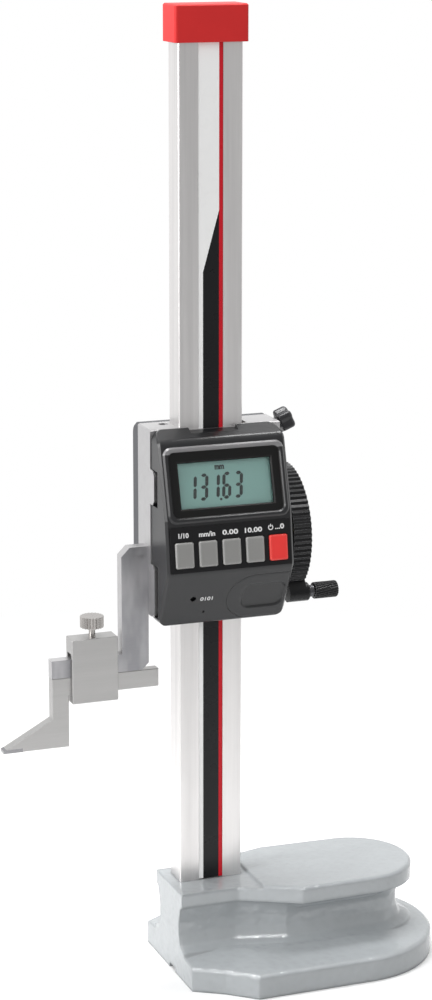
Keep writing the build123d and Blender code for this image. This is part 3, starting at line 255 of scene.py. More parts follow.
upright_lines, level_lines = (2600, 2600, 60), (90, 2400, 2400)
column_steel = ground_steel("ground column steel", (0.74, 0.725, 0.72), 0.36, upright_lines, streaks=0.17)
frame_steel = ground_steel("brushed frame steel", (0.54, 0.535, 0.54), 0.4, level_lines)
scriber_steel = ground_steel("ground scriber steel", (0.46, 0.455, 0.45), 0.36, level_lines)
gear_steel = ground_steel("cut gear steel", (0.5, 0.5, 0.5), 0.3, (80, 1500, 1500), edge_share=0.3)
bright_steel = ground_steel("turned bright steel", (0.44, 0.42, 0.405), 0.24, (900, 900, 2600), edge_share=0.3)
plated_steel = ground_steel("plated steel", (0.6, 0.6, 0.59), 0.22, (500, 500, 500), edge_share=0.2)
dark_steel = ground_steel("blackened steel", (0.09, 0.09, 0.095), 0.38, (700, 700, 700), edge_share=0.35)
carbide_grey = ground_steel("lapped carbide", (0.3, 0.3, 0.31), 0.2, (900, 900, 900), edge_share=0.1)
gib_brass = ground_steel("machined brass", (0.74, 0.55, 0.26), 0.3, (60, 1800, 1800), edge_share=0.2)
cover_metal = ground_steel("satin cover metal", (0.12, 0.123, 0.133), 0.42, upright_lines, edge_share=0.15)
print("metals:", Finish.made)

# %% [markdown]
# The front faces of the arm and the jaw of the frame carry a painted reflection: their colour is painted
# darker and bluer than the block's, as a dim reflection of the room in front, with cloudy smears in it.
# They are found by their place, left of the block, and by the direction in which they face.

# %% Painted dim reflection on the fronts of the arm and the jaw
block_left, to_the_front = -34 * mm, (0, -1, 0)
side_on, front_on = 0.5, 0.9
smear_low, smear_high = 0.35, 0.65
painted_reflection_dark, painted_reflection_pale = (0.32, 0.32, 0.335, 1), (0.46, 0.455, 0.47, 1)
left_of_block = frame_steel.along((1, 0, 0)) < block_left
arm_front_reflection_mask = frame_steel.between(frame_steel.facing(to_the_front), side_on, front_on) * left_of_block
cloud = frame_steel.noise(scale=70.0, stretch=(1.6, 1, 0.5), detail=2.0)
reflection_smears = frame_steel.between(cloud, smear_low, smear_high)
painted_dim_reflection = frame_steel.mixed(reflection_smears, painted_reflection_dark, painted_reflection_pale)
# Painted reflection: the front faces of the arm and the jaw are painted darker and bluer than the block, as
# a dim reflection of the room in front.
frame_steel.varies("Base Color", frame_steel.mixed(arm_front_reflection_mask, frame_steel.body, painted_dim_reflection))
print("smears lie left of x in mm:", block_left * in_mm)

# %% [markdown]
# ## Paint on the cast base
# The base is sprayed with a thick light grey hammered enamel over rough iron. The paint flows
# into small dimples and soft ripples and dries glossy, so the base shows broken, wavy highlights.
# A smooth Voronoi pattern makes the dimples, and noise of three sizes the swell, the ripples and
# the grit. Each is a bump that takes the one before as its normal. The gloss is a low roughness
# and not a clear coat, because a coat would lie flat over the ripples.

# %% Hammered enamel over a casting
base_enamel = Finish(
    "hammered enamel", (0.40, 0.423, 0.437), 0.16, soft=2.8 * mm, Specular_IOR_Level=0.7
)
swell = base_enamel.noise(scale=60.0, detail=1.0)
ripple = base_enamel.noise(scale=230.0, detail=1.5, roughness=0.4)
grit = base_enamel.noise(scale=1400.0, detail=2.0)
dimple_inputs = {"Vector": base_enamel.place, "Scale": 260.0, "Smoothness": 0.8, "Randomness": 1.0}
dimple = base_enamel.node("ShaderNodeTexVoronoi", {"feature": "SMOOTH_F1"}, dimple_inputs)
base_enamel.varies("Base Color", base_enamel.tone(swell * 0.5 + dimple * 0.5, 0.95, 1.07))
base_enamel.varies("Roughness", base_enamel.from_noise(grit, 0.1, 0.2))
painted = None
for height, distance, strength in (
    (swell, 1.0 * mm, 0.4), (dimple, 0.5 * mm, 0.45), (ripple, 0.4 * mm, 0.45), (grit, 0.02 * mm, 0.3),
):
    painted = base_enamel.bump(height, distance, strength, below=painted)
base_enamel.varies("Normal", painted)
print("base enamel nodes:", len(base_enamel.tree.nodes))

# %% [markdown]
# ## Moulded plastics and rubber
# Moulded parts show the mould's spark-eroded grain: a tiny even roughness without direction. Edges change
# first: a rubbed edge is a little lighter and smoother. `rim_colour` gives the edges another colour: a
# painted highlight along the ribs of the black wheel and the rims of the keys, and the dark seam round the
# door.


# %% Moulded plastic with a fine grain
def moulded(
    name, colour, roughness, grain=900.0, edge_share=0.25, rim=0.6 * mm, rim_colour=None, soft=0.4 * mm, **fixed
):
    haze_smoother, haze_rougher, rubbed_smoother = 0.05, 0.06, 0.08
    finish = Finish(name, colour, roughness, soft=soft, **fixed)
    pits = finish.noise(grain, detail=2.0, roughness=0.6)
    haze = finish.noise(scale=30.0, detail=2.0)
    edge_mask = finish.edges(rim)
    a_little_paler = tuple(part * 0.8 + 0.12 for part in colour)
    edge_wear_and_highlight = rim_colour or a_little_paler
    # Edges get a little wear by default, and a painted highlight where a light rim_colour is given.
    finish.body = finish.mixed(edge_mask * edge_share, finish.tone(haze, 0.9, 1.1), (*edge_wear_and_highlight, 1.0))
    hazy = finish.from_noise(haze, roughness - haze_smoother, roughness + haze_rougher)
    finish.varies("Base Color", finish.body)
    finish.varies("Roughness", hazy - edge_mask * rubbed_smoother)
    finish.varies("Normal", finish.bump(pits, distance=0.04 * mm, strength=0.5))
    return finish


matt_level = 0.25
panel_print = moulded(
    "black panel print", (0.008, 0.008, 0.009), 0.3, edge_share=0.1, Specular_IOR_Level=matt_level
)
# Painted highlight: the grey rim colour along the wheel's ribs stands for light caught on them.
wheel_plastic = moulded(
    "black wheel plastic", (0.006, 0.006, 0.007), 0.3, edge_share=0.9, rim=0.4 * mm,
    rim_colour=(0.27, 0.27, 0.28), soft=0.2 * mm, Specular_IOR_Level=matt_level,
)
lock_plastic = moulded("dark knob plastic", (0.018, 0.018, 0.021), 0.3)
cap_plastic = moulded(
    "red cap plastic", (0.66, 0.022, 0.022), 0.42, edge_share=0.1, soft=0.8 * mm, Specular_IOR_Level=0.3
)
# Painted highlight: the keys' rims are painted lighter along their bevels.
key_highlight_rim = 1.6 * mm
key_grey = moulded(
    "grey key rubber", (0.27, 0.268, 0.26), 0.5, edge_share=0.8, rim=key_highlight_rim, rim_colour=(0.55, 0.55, 0.54)
)
key_red = moulded(
    "red key rubber", (0.88, 0.035, 0.03), 0.45, edge_share=0.5, rim=key_highlight_rim, rim_colour=(0.9, 0.2, 0.17)
)
mat_rubber = moulded("keypad mat rubber", (0.2, 0.2, 0.21), 0.6)
board_green = moulded("circuit board green", (0.02, 0.14, 0.06), 0.35, grain=400.0)
scale_board_green = moulded("scale laminate", (0.1, 0.16, 0.1), 0.5)
print("metals, paint and plastics:", len(Finish.made))

# %% [markdown]
# ## Faces of the housing
# The display, the keypad and the chin lie on tilted planes. A small frame of reference for each
# plane lets digits and labels be drawn in millimetres right and down on that plane. Each plane
# starts where the one above it ends, as the housing's side view does.


# %% A tilted drawing plane
class DrawingPlane:
    def __init__(self, top_y, top_z, tilt):
        lean = math.radians(tilt)
        self.right = Vector((1, 0, 0))
        self.up = Vector((0, math.sin(lean), math.cos(lean)))
        self.out = Vector((0, -math.cos(lean), math.sin(lean)))
        self.origin = Vector((0, top_y, top_z)) * mm

    def at(self, x, down, depth=0.0):
        """Point in metres, from millimetres right, down and into the face."""
        return self.origin + (self.right * x - self.up * down - self.out * depth) * mm

    def below(self, length, tilt):
        """The next face, which starts where this one ends."""
        end = self.at(0, length) * in_mm
        return DrawingPlane(end.y, end.z, tilt)

    def turned(self):
        return Matrix((self.right, self.up, self.out)).transposed().to_4x4()


display_top_y, display_top_z = -19.9, 294.5
display_length, keypad_length = 40.7, 27.8
display_tilt, keypad_tilt, chin_tilt = 16.25, 8.0, -27.3
display_face = DrawingPlane(display_top_y, display_top_z, display_tilt)
keypad_face = display_face.below(display_length, keypad_tilt)
chin_face = keypad_face.below(keypad_length, chin_tilt)
print("keypad top at y, z in mm:", [round(value * in_mm, 1) for value in keypad_face.origin.yz])

# %% [markdown]
# ## Housing plastic
# The housing and the battery door in its chin are charcoal plastic, with a clear coat for the gloss. The
# thumb dent in the door is found by its depth below the chin's plane, and gets painted shade: its colour is
# painted darker, because little light gets into it.

# %% Door plastic with painted shade in the thumb dent
charcoal, full_coat = (0.0115, 0.0119, 0.0133), 0.5
coat_gloss = {"Specular_IOR_Level": matt_level, "Coat_Roughness": 0.2}
door_plastic = moulded(
    "charcoal door plastic", charcoal, 0.45, edge_share=0.9, rim=0.5 * mm,
    rim_colour=(0.002, 0.002, 0.002), soft=2.5 * mm, Coat_Weight=full_coat, **coat_gloss,
)
dent_start, dent_end = 0.1 * mm, 1.6 * mm
into_door = door_plastic.along(-chin_face.out, chin_face.origin)
painted_dent_shade = door_plastic.between(into_door, dent_start, dent_end)
# Painted shade: the thumb dent is painted darker.
door_plastic.varies("Base Color", door_plastic.mixed(painted_dent_shade, door_plastic.body, (0.005, 0.005, 0.006, 1)))
print("door nodes:", len(door_plastic.tree.nodes))

# %% [markdown]
# The bed inside the raised frame round the display is flat black, so that it doesn't dazzle the reader: it
# has another colour and no coat. The top bar of the raised frame faces up into the light, and a painted
# highlight gives it a paler grey. A second material slot could give both their colours, but a carried-over
# mesh isn't changed, so they are masks in the one material. They are found by their place on the face:
# right, down and depth are the surface's distances along the plane's three directions, and each comparison
# cuts the mask at one straight line.

# %% Housing plastic with a black display bed and a painted highlight on the top bar
housing_plastic = moulded("charcoal housing plastic", charcoal, 0.45, edge_share=0.1, soft=0.6 * mm, **coat_gloss)
bed_x, bed_down = 1.6 * mm, 22.8 * mm
bed_half_w, bed_half_h = 30.6 * mm, 17.1 * mm
bed_near, bed_far = -0.6 * mm, 6.0 * mm
ridge_half_h, ridge_lap, ridge_near = 19.9 * mm, 1.0 * mm, -0.2 * mm
right = housing_plastic.along(display_face.right)
down = housing_plastic.along(-display_face.up, display_face.origin)
depth = housing_plastic.along(-display_face.out, display_face.origin)
bed = (right > bed_x - bed_half_w) * (right < bed_x + bed_half_w)
bed = bed * (down > bed_down - bed_half_h) * (down < bed_down + bed_half_h)
bed = bed * (depth > bed_near) * (depth < bed_far)
top_bar = (down > bed_down - ridge_half_h) * (down < bed_down - bed_half_h + ridge_lap)
painted_ridge_highlight = (depth < ridge_near) * top_bar
# Painted highlight: the top bar of the raised frame is painted a paler grey.
housing_with_painted_highlight = housing_plastic.mixed(painted_ridge_highlight, housing_plastic.body, (0.22, 0.217, 0.222, 1))
housing_plastic.varies("Base Color", housing_plastic.mixed(bed, housing_with_painted_highlight, (0.004, 0.004, 0.004, 1)))
housing_plastic.varies("Coat Weight", full_coat - bed * full_coat)
print("housing nodes:", len(housing_plastic.tree.nodes))

# %% [markdown]
# ## The printed scale
# The film on the column is printed in flat colours: white on the left, a red line on the right,
# and a black field that starts in a long slanting point. A comparison of the place with a line
# gives a hard-edged mask, which is how a printed field looks, with no texture image.

# %% Scale film print
scale_print = Finish("printed scale film", (0.98, 0.98, 0.975), 0.3, Specular_IOR_Level=matt_level)
across, up = scale_print.along((1, 0, 0)), scale_print.along((0, 0, 1))
black_left, red_left = -4.2 * mm, 4.6 * mm
point_top, point_slope = 411 * mm, 3.6
print_black, print_red = (0.008, 0.008, 0.009, 1), (0.6, 0.008, 0.02, 1)
wear = scale_print.noise(scale=60.0)
slant = up + (red_left - across) * point_slope
black_field = (across > black_left) * (across < red_left) * (slant < point_top)
printed = scale_print.mixed(black_field, scale_print.tone(wear, 0.97, 1.0), print_black)
printed = scale_print.mixed(across > red_left, printed, print_red)
scale_print.varies("Base Color", printed)
scale_print.varies("Roughness", scale_print.from_noise(wear, 0.24, 0.34))
print("scale print nodes:", len(scale_print.tree.nodes))

# %% [markdown]
# ## The display
# The lens is clear acrylic. A low Alpha would show what lies behind it too, but would fade the
# lens's own reflections, so it is made of transmission. The module behind it is a reflective
# liquid crystal cell, a pale grey green that looks matt, with dark segments just above it.

# %% Lens, cell and ink finishes
clear_lens = Finish("clear lens", (1.0, 1.0, 1.0), 0.02, Transmission_Weight=1.0, IOR=1.3)
clear_lens.varies("Roughness", clear_lens.from_noise(clear_lens.noise(scale=40.0), 0.0, 0.03))
cell_green = Finish("display cell", (0.23, 0.42, 0.385), 0.5)
cell_green.varies("Base Color", cell_green.tone(cell_green.noise(scale=40.0, detail=1.0), 0.95, 1.05))


def printed_ink(name, colour):
    finish = Finish(name, colour, 0.5)
    finish.varies("Roughness", finish.from_noise(finish.noise(scale=700.0), 0.42, 0.58))
    return finish


segment_ink = printed_ink("display segment", (0.006, 0.016, 0.014))
label_ink = printed_ink("white label ink", (0.86, 0.86, 0.86))
print("inks:", segment_ink.material.name, "and", label_ink.material.name)

# %% [markdown]
# ## Dress the solids
# A carried-over solid keeps its mesh and only gets the finish, in every one of its slots. One
# table from finish to solids shows at a glance which pieces are made of the same stuff, and the
# last line counts the solids that it leaves bare.

# %% Which solid gets which finish
dressing = {
    column_steel: ["column"],
    frame_steel: ["carriage_frame"],
    scriber_steel: ["scriber", "scriber_clamp"],
    gear_steel: ["feed_rack", "pinion", "pinion_shaft"],
    bright_steel: ["clamp_thumbscrew"],
    plated_steel: ["wheel_washer", "battery", "battery_contacts"],
    dark_steel: [
        "column_screws", "rack_pins", "top_screw", "gib_screws", "cover_screws", "housing_screws",
        "wheel_screw", "crank_pin", "lock_screw",
    ],
    carbide_grey: ["carbide_tip"],
    gib_brass: ["gib_strip", "brake_shoe", "shaft_bushes"],
    cover_metal: ["gear_cover"],
    base_enamel: ["base_casting"],
    housing_plastic: ["display_housing"],
    door_plastic: ["battery_door"],
    panel_print: ["keypad_panel", "data_jack"],
    wheel_plastic: ["handwheel", "crank_knob"],
    lock_plastic: ["lock_knob"],
    cap_plastic: ["column_cap"],
    key_grey: ["key_inc", "key_unit", "key_hold", "key_preset"],
    key_red: ["key_zero"],
    mat_rubber: ["keypad_mat"],
    board_green: ["sensor_board", "key_board"],
    scale_print: ["scale_film"],
    scale_board_green: ["scale_board"],
    clear_lens: ["display_lens"],
    cell_green: ["lcd_module"],
}
dressed = set()
for finish, names in dressing.items():
    for name in names:
        slots = solids[name].data.materials
        for index in range(len(slots)):
            slots[index] = finish.material
        dressed.add(name)
print("dressed:", len(dressed), "bare:", sorted(set(solids) - dressed))

# %% [markdown]
# ## A piece from a mesh
# Every piece made here ends the same way: its mesh becomes an object with one finish, and it
# rides on a body of the frame, so that it moves with the solids. Flat pieces, such as digits and
# signs, are drawn as outlines on a plane and get a real thickness, as ink and foil have.


# %% Finish a mesh as a riding piece
def riding_piece(name, mesh, finish, body):
    bmesh.ops.recalc_face_normals(mesh, faces=mesh.faces)
    data = bpy.data.meshes.new(name)
    mesh.to_mesh(data)
    mesh.free()
    data.materials.append(finish.material)
    piece = bpy.data.objects.new(name, data)
    bpy.context.scene.collection.objects.link(piece)
    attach(piece, body)
    return piece


def thin_piece(name, outlines, face, depth, thick, finish, body):
    """Flat outlines, given as (x, down) points on a face, as one piece with a real thickness."""
    mesh = bmesh.new()
    for points in outlines:
        surface = mesh.faces.new([mesh.verts.new(face.at(x, down, depth)) for x, down in points])
        grown = bmesh.ops.extrude_face_region(mesh, geom=[surface])
        moved = [part for part in grown["geom"] if isinstance(part, bmesh.types.BMVert)]
        bmesh.ops.translate(mesh, verts=moved, vec=face.out * thick * mm)
    return riding_piece(name, mesh, finish, body)


# %% [markdown]
# ## Turned pieces with a patterned outside
# The crank grip has shallow flutes that wind a little round it, and the lock knob has soft
# lobes for the fingers. The solids under them have the same size, with a plain barrel and
# square-edged lobes. Both are made the same way here: a profile goes round an axis, and the
# outside dips in a cosine of the turn. The Spin tool could turn a profile too, but all its rings
# would be round. Each piece then replaces its solid.


# %% Turn a profile round an axis
def turned_piece(name, foot, axis, profile, turns, dip_at, finish, body, closed=True):
    """Profile points are (along the axis, radius, depth of the dips there), in millimetres."""
    same_place, sharp_angle = 0.001 * mm, 35
    side = Vector((0, 1, 0))
    other = axis.cross(side)
    mesh = bmesh.new()
    rings = []
    for along, radius, depth in profile:
        ring = []
        for step in range(turns):
            turn = step * 2 * math.pi / turns
            reach = radius - depth * dip_at(turn, along)
            spot = foot + axis * along + side * reach * math.cos(turn) + other * reach * math.sin(turn)
            ring.append(mesh.verts.new(spot * mm))
        rings.append(ring)
    following = rings[1:] + rings[:1] if closed else rings[1:]
    for ring, after in zip(rings, following):
        for step in range(turns):
            beside = (step + 1) % turns
            mesh.faces.new((ring[step], ring[beside], after[beside], after[step]))
    bmesh.ops.remove_doubles(mesh, verts=mesh.verts, dist=same_place)
    piece = riding_piece(name, mesh, finish, body)
    piece.data.shade_smooth()
    piece.data.set_sharp_from_angle(angle=math.radians(sharp_angle))
    return piece


def rounded_end(end, radius, edge, depth, steps=5):
    """Profile points of a rounded edge that leads from the outside of a barrel to its end face."""
    arc = [index * math.pi / 2 / steps for index in range(steps + 1)]
    centre, core = end - edge, radius - edge
    return [(centre + edge * math.sin(turn), core + edge * math.cos(turn), depth) for turn in arc]


print("points of a rounded end:", len(rounded_end(end=1.0, radius=1.0, edge=0.5, depth=0.0)))

# %% [markdown]
# The grip is open at both ends: its profile runs up the outside, into the recess for the pin's
# head and back down the bore, and closes on itself. Its length and radius are read from the
# solid that it replaces.

# %% Fluted crank grip
grip_low, grip_high = (corner * in_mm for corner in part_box("crank_knob"))
grip_foot = Vector((grip_low.x, (grip_low.y + grip_high.y) / 2, (grip_low.z + grip_high.z) / 2))
grip_len, grip_r = grip_high.x - grip_low.x, (grip_high.z - grip_low.z) / 2
bore_r, recess_r, recess_len = 2.0, 3.0, 2.2
flute_count, flute_depth, flute_wind, flute_steps = 22, 0.32, 0.035, 12
start_edge, end_edge, barrel_steps = 0.3, 0.9, 20
barrel_len, recess_floor = grip_len - end_edge - start_edge, grip_len - recess_len
grip_profile = [(0, bore_r, 0), (0, grip_r - start_edge, 0)]
for step in range(barrel_steps):
    grip_profile.append((start_edge + barrel_len * step / barrel_steps, grip_r, flute_depth))
grip_profile += rounded_end(grip_len, grip_r, end_edge, flute_depth)
grip_profile += [(grip_len, recess_r, 0), (recess_floor, recess_r, 0), (recess_floor, bore_r, 0)]


def flute_dip(turn, along):
    return 0.5 - 0.5 * math.cos(flute_count * (turn + along * flute_wind))


fluted_grip = turned_piece(
    "fluted_grip", grip_foot, Vector((1, 0, 0)), grip_profile, flute_steps * flute_count, flute_dip,
    wheel_plastic, "crank_knob",
)
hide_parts("crank_knob")
print("grip faces:", len(fluted_grip.data.polygons))

# %% [markdown]
# The lock knob sits on a tilted screw. The joint that turns it in the frame already holds the
# axis and a point on it, so its place is taken from there. The knob is closed at its outer end,
# so its profile starts and ends on the axis.

# %% Lock knob with soft lobes
lock_joint = next(joint for joint in frame["joints"] if joint["name"] == "lock_knob_turn")
lock_axis = Vector(lock_joint["axis"])
knob_start, knob_thick, knob_r = 22.4, 7.5, 6.6
foot_edge, crown_edge, crown_step = 1.0, 1.9, 1.0
lobes, lobe_depth, lobe_steps = 5, 1.4, 24
neck_r, neck_len, stem_r, skin = 3.0, 1.2, 2.03, 2.5
knob_foot = Vector(lock_joint["pos_m"]) * in_mm + lock_axis * knob_start
stem_top = knob_thick - skin
foot_arc = rounded_end(0, knob_r, foot_edge, lobe_depth)
knob_profile = [(stem_top, 0, 0), (stem_top, stem_r, 0), (-neck_len, stem_r, 0)]
knob_profile += [(-neck_len, neck_r, 0), (0, neck_r, 0)]
knob_profile += [(-along, radius, depth) for along, radius, depth in reversed(foot_arc)]
knob_profile += rounded_end(knob_thick, knob_r, crown_edge, lobe_depth)
knob_profile += [(knob_thick, knob_r - crown_edge - crown_step, lobe_depth / 2), (knob_thick, 0, 0)]


def lobe_dip(turn, along):
    return 0.5 - 0.5 * math.cos(lobes * turn)


lobed_knob = turned_piece(
    "lobed_knob", knob_foot, lock_axis, knob_profile, lobe_steps * lobes, lobe_dip,
    lock_plastic, "lock_knob", closed=False,
)
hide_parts("lock_knob")
print("knob faces:", len(lobed_knob.data.polygons))

# %% [markdown]
# ## Display digits
# Each digit is up to seven slim hexagons, slanted a little. A picture of them on the cell would blur close
# up, and drawn as geometry they stay sharp. They lie on the cell, behind the lens. The bars of a digit have
# the usual letters: a, g and d are the level ones from the top down, f and e stand on the left, b and c on
# the right.

# %% Seven-segment digits
reading = "13163"
bars_lit = {"1": "bc", "3": "abgcd", "6": "afgecd"}
digit_w, digit_h, stroke, digit_gap, digit_slant = 3.3, 12.2, 1.75, 0.15, 0.12
digit_top, first_digit_x, digit_pitch = 18.3, -14.55, 6.37


def digit_outlines(digit, right_x):
    half = digit_h / 2
    left_x = right_x - digit_w
    bars = {
        "a": ((left_x, 0), (right_x, 0)), "g": ((left_x, half), (right_x, half)),
        "d": ((left_x, digit_h), (right_x, digit_h)),
        "f": ((left_x, 0), (left_x, half)), "b": ((right_x, 0), (right_x, half)),
        "e": ((left_x, half), (left_x, digit_h)), "c": ((right_x, half), (right_x, digit_h)),
    }
    shapes = []
    for name in bars_lit[digit]:
        start, end = Vector(bars[name][0]), Vector(bars[name][1])
        ahead = (end - start).normalized()
        side = Vector((-ahead.y, ahead.x)) * stroke / 2
        first, last = start + ahead * digit_gap, end - ahead * digit_gap
        inner_first, inner_last = first + ahead * stroke / 2, last - ahead * stroke / 2
        ring = [first, inner_first + side, inner_last + side, last, inner_last - side, inner_first - side]
        shapes.append([(spot.x - (spot.y - half) * digit_slant, spot.y + digit_top) for spot in ring])
    return shapes


display_shapes = []
for place, digit in enumerate(reading):
    display_shapes += digit_outlines(digit, first_digit_x + place * digit_pitch)
dot_x, dot_down, dot_r, dot_sides = -0.9, 31.3, 0.7, 10
dot_turns = [side * 2 * math.pi / dot_sides for side in range(dot_sides)]
display_shapes.append([
    (dot_x + dot_r * math.cos(turn), dot_down + dot_r * math.sin(turn)) for turn in dot_turns
])
cell_depth, ink_sunk, ink_thick = 3.5, 0.02, 0.05
ink_depth = cell_depth - ink_sunk
display_digits = thin_piece(
    "display_digits", display_shapes, display_face, ink_depth, ink_thick, segment_ink, "carriage"
)
print("segments drawn:", len(display_shapes))

# %% [markdown]
# ## Marks of the keys
# The panel is printed in white above the keys with short plain marks. A picture texture could
# hold them, but a text object gives sharp outlines from the letters alone. It is turned into a
# mesh, stretched into its box on the panel, laid on the plane, and rides on the carriage with
# the panel. A negative depth puts a mark in front of its plane, and `weight` makes the strokes
# bolder.


# %% Printed marks on a plane
def printed_mark(name, words, face, box, depth, finish, weight=0.03):
    """The box is (left, right, top, bottom) on the face, in millimetres."""
    left, right, top, bottom = box
    font = bpy.data.curves.new(name, "FONT")
    font.body = words
    font.extrude = 0.01
    font.offset = weight
    font.resolution_u = 3
    text = bpy.data.objects.new(name + "_text", font)
    bpy.context.scene.collection.objects.link(text)
    bpy.context.view_layer.update()
    data = bpy.data.meshes.new_from_object(text)
    bpy.data.objects.remove(text)
    across = [vertex.co.x for vertex in data.vertices]
    upward = [vertex.co.y for vertex in data.vertices]
    wide = (right - left) / (max(across) - min(across))
    tall = (bottom - top) / (max(upward) - min(upward))
    data.transform(Matrix.Translation((-min(across), -max(upward), 0)))
    data.transform(Matrix.Diagonal((wide * mm, tall * mm, mm, 1)))
    placed = face.turned()
    placed.translation = face.at(left, top, depth)
    data.transform(placed)
    data.name = name
    data.materials.clear()
    data.materials.append(finish.material)
    mark = bpy.data.objects.new(name, data)
    bpy.context.scene.collection.objects.link(mark)
    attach(mark, "carriage")


panel_top, chin_top = -0.61, -0.01
row = (6.6, 9.3)
key_marks = {
    "step_mark": ("1/10", (-27.1, -21.5, *row)),
    "unit_mark": ("mm/in", (-15.9, -7.0, *row)),
    "hold_mark": ("0.00", (-3.0, 5.7, *row)),
    "preset_mark": ("10.00", (9.4, 19.0, *row)),
    "zero_mark": ("...0", (26.2, 31.3, 5.9, 8.7)),
}
for name, (words, box) in key_marks.items():
    printed_mark(name, words, keypad_face, box, panel_top, label_ink)
socket_box, unit_box = (-12.8, -5.9, 17.5, 20.1), (-2.9, 2.4, 13.5, 15.9)
printed_mark("socket_mark", "0101", chin_face, socket_box, chin_top, label_ink, weight=0.02)
printed_mark(
    "reading_unit", "mm", display_face, unit_box, ink_depth, segment_ink, weight=0.06
)

# %% [markdown]
# ## Power symbol
# An open ring with a stroke is the usual sign for on and off. A ring of short flat pieces with a
# gap at the top, and one bar, draws it.

# %% Ring and bar
ring_x, ring_down, ring_in, ring_out, ring_steps = 23.8, 7.5, 0.95, 1.45, 22
ring_gap, ring_middle = 60, -90
bar_half, bar_top, bar_bottom = 0.24, 1.8, 0.3
ring_turns = [
    math.radians(ring_middle + ring_gap / 2 + step * (360 - ring_gap) / ring_steps)
    for step in range(ring_steps + 1)
]
sign_shapes = []
for start, end in zip(ring_turns, ring_turns[1:]):
    corners = ((ring_in, start), (ring_out, start), (ring_out, end), (ring_in, end))
    sign_shapes.append([
        (ring_x + reach * math.cos(turn), ring_down + reach * math.sin(turn)) for reach, turn in corners
    ])
sign_shapes.append([
    (ring_x - bar_half, ring_down - bar_top), (ring_x + bar_half, ring_down - bar_top),
    (ring_x + bar_half, ring_down - bar_bottom), (ring_x - bar_half, ring_down - bar_bottom),
])
sign_sunk, sign_thick = 0.01, 0.02
power_sign = thin_piece(
    "power_sign", sign_shapes, keypad_face, panel_top + sign_sunk, sign_thick, label_ink, "carriage"
)
print("power sign parts:", len(sign_shapes))

# %% [markdown]
# ## Floor
# The floor is a matt pale surface that keeps the object's shadow near it and turns into plain
# white further away. Lamps alone never light a floor evenly, so its far part glows with a
# strength of 1, but only for rays that see it. To the light that falls on the object it stays a
# grey floor.
# Whoever takes the picture stands in front of the object, so the room is darker there. Polished
# parts mirror that, which is why the fronts of steel parts look darker than their sides and tops.

# %% Floor
dim_front, floor_reach, floor_drop = 0.52, 30.0, 0.05 * mm
shadow_until, white_from = 0.25, 0.7
dim_from, dim_until = 0.3, 0.85
floor_grey, floor_pale = (0.5, 0.5, 0.5, 1), (0.93, 0.93, 0.93, 1)
pure_white, dim_white = (1, 1, 1, 1), (dim_front, dim_front, dim_front, 1)
corner_signs = ((-1, -1), (1, -1), (1, 1), (-1, 1))
corners = [(x_sign * floor_reach, y_sign * floor_reach, 0) for x_sign, y_sign in corner_signs]
floor_mesh = bpy.data.meshes.new("floor")
floor_mesh.from_pydata(corners, [], [(0, 1, 2, 3)])
floor = bpy.data.objects.new("floor", floor_mesh)
bpy.context.scene.collection.objects.link(floor)
floor.location.z = -floor_drop
floor_finish = Finish("pale floor", (0.9, 0.9, 0.9), 0.9)
seen = floor_finish.ray("Camera", "Glossy", "Transmission")
floor_finish.varies("Base Color", floor_finish.mixed(seen, floor_grey, floor_pale))
from_middle = floor_finish.vector_maths("LENGTH", floor_finish.place, (0, 0, 0), output="Value")
far_away = floor_finish.between(from_middle, shadow_until, white_from)
dim_floor = floor_finish.between(floor_finish.along(to_the_front), dim_from, dim_until)
in_front = dim_floor * floor_finish.ray("Glossy")
white_or_dim = floor_finish.mixed(in_front, pure_white, dim_white)
glow = floor_finish.node("ShaderNodeEmission", inputs={"Color": white_or_dim, "Strength": 1.0})
matt = Flow(floor_finish, floor_finish.shader.outputs[0])
shown = floor_finish.node("ShaderNodeMixShader", inputs={0: far_away * seen, 1: matt, 2: glow})
surface = floor_finish.tree.nodes["Material Output"].inputs["Surface"]
floor_finish.tree.links.new(shown.socket, surface)
floor_mesh.materials.append(floor_finish.material)
print("floor is plain white beyond", white_from, "m")

# %% [markdown]
# ## Sky
# The picture has a white surround, but white everywhere would light the object flat. So the
# sky is white only for what is seen, directly, in a reflection or through glass, and a plain
# grey for the light that falls on the object. In reflections it is dim towards the front, as
# the floor is.

# %% Sky
light_strength = 0.58
front_direction, full_dim_at = (-0.25, -0.97, 0), 0.7
world = bpy.data.worlds.new("sky")
bpy.context.scene.world = world
world.use_nodes = True
sky = Graph(world.node_tree)
background = sky.tree.nodes["Background"]
background.inputs["Color"].default_value = pure_white
direction = sky.node("ShaderNodeTexCoord", output="Generated")
towards_front = sky.vector_maths("DOT_PRODUCT", direction, front_direction, output="Value")
dimmed = 1 - sky.between(towards_front, 0.0, full_dim_at) * (1 - dim_front)
mirrored = sky.ray("Glossy")
plain_white = sky.ray("Camera", "Transmission")
unseen = 1 - sky.ray("Camera", "Transmission", "Glossy")
strength = unseen * light_strength + (1 - unseen) * (plain_white + (1 - plain_white) * dimmed * mirrored)
sky.tree.links.new(strength.socket, background.inputs["Strength"])
print("sky lights the object at", light_strength)

# %% [markdown]
# ## Lamps
# A large soft lamp far to the left makes the left sides bright. A long narrow one above and a
# little behind lights the tops and draws bright lines along rounded upper edges, and a weak one
# on the right keeps that side from going black. A thin one high in front is only there to be
# mirrored in the hollow of the base: it is hidden from diffuse rays, and light linking keeps it
# off everything but the base. The rest of the front is left to the sky and the floor, which
# keeps it quiet.


# %% Soft lamps
def soft_lamp(name, place, size, power, aim=(0.0, 0.0, 0.25)):
    light = bpy.data.lights.new(name, "AREA")
    light.shape = "RECTANGLE"
    light.size, light.size_y = size
    light.energy = power
    lamp = bpy.data.objects.new(name, light)
    lamp.location = place
    lamp.rotation_mode = "QUATERNION"
    lamp.rotation_quaternion = (Vector(aim) - Vector(place)).to_track_quat("-Z", "Y")
    bpy.context.scene.collection.objects.link(lamp)
    return lamp


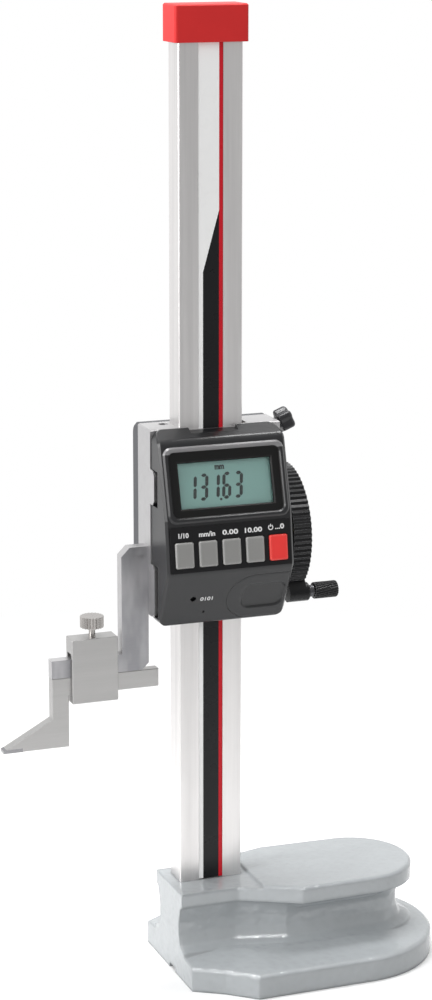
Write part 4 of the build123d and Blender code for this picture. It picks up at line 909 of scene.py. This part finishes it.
soft_lamp("left_lamp", place=(-1.7, -0.3, 0.95), size=(1.0, 1.0), power=27.0)
soft_lamp("top_lamp", place=(0.0, 0.25, 1.7), size=(1.3, 0.28), power=24.0)
soft_lamp("right_lamp", place=(1.5, -0.9, 0.8), size=(0.8, 1.2), power=1.5)
cove_lamp = soft_lamp("cove_lamp", place=(-0.35, -0.88, 1.32), size=(1.3, 0.16), power=28.0)
cove_lamp.visible_diffuse = False
mirrors = bpy.data.collections.new("mirrors_of_the_cove_lamp")
mirrors.objects.link(solids["base_casting"])
cove_lamp.light_linking.receiver_collection = mirrors
print("lamps:", sorted(light.name for light in bpy.data.lights))

# %% [markdown]
# ## Camera
# The camera stands where the photograph was taken from, a little left of the front and above
# the middle, with a long lens. A Track To constraint could aim it, but would leave out its small
# roll. Its three turns give the directions to its right, up and ahead, and those make the matrix
# that places it.

# %% Camera at the photograph's place
yaw, pitch, roll = math.radians(20.4446), math.radians(13.3590), math.radians(0.0384)
camera_place = Vector((-0.472755, -1.283658, 0.582126))
sensor, frame_heights = 36.0, 2.66908
level = Vector((math.sin(yaw), math.cos(yaw), 0))
aside = Vector((math.cos(yaw), -math.sin(yaw), 0))
forward = level * math.cos(pitch) - Vector((0, 0, 1)) * math.sin(pitch)
upward = level * math.sin(pitch) + Vector((0, 0, 1)) * math.cos(pitch)
turned_right = aside * math.cos(roll) + upward * math.sin(roll)
turned_up = upward * math.cos(roll) - aside * math.sin(roll)
lens = bpy.data.cameras.new("camera")
lens.sensor_fit = "VERTICAL"
lens.sensor_height = sensor
lens.sensor_width = sensor
lens.lens = sensor * frame_heights
lens.clip_start = 0.05
lens.clip_end = 200.0
camera = bpy.data.objects.new("camera", lens)
bpy.context.scene.collection.objects.link(camera)
stance = Matrix((turned_right, turned_up, -forward)).transposed().to_4x4()
stance.translation = camera_place
camera.matrix_world = stance
bpy.context.scene.camera = camera
bpy.context.scene.view_settings.view_transform = "Standard"
print("camera stands", round(camera_place.length, 2), "m away")

# %% [markdown]
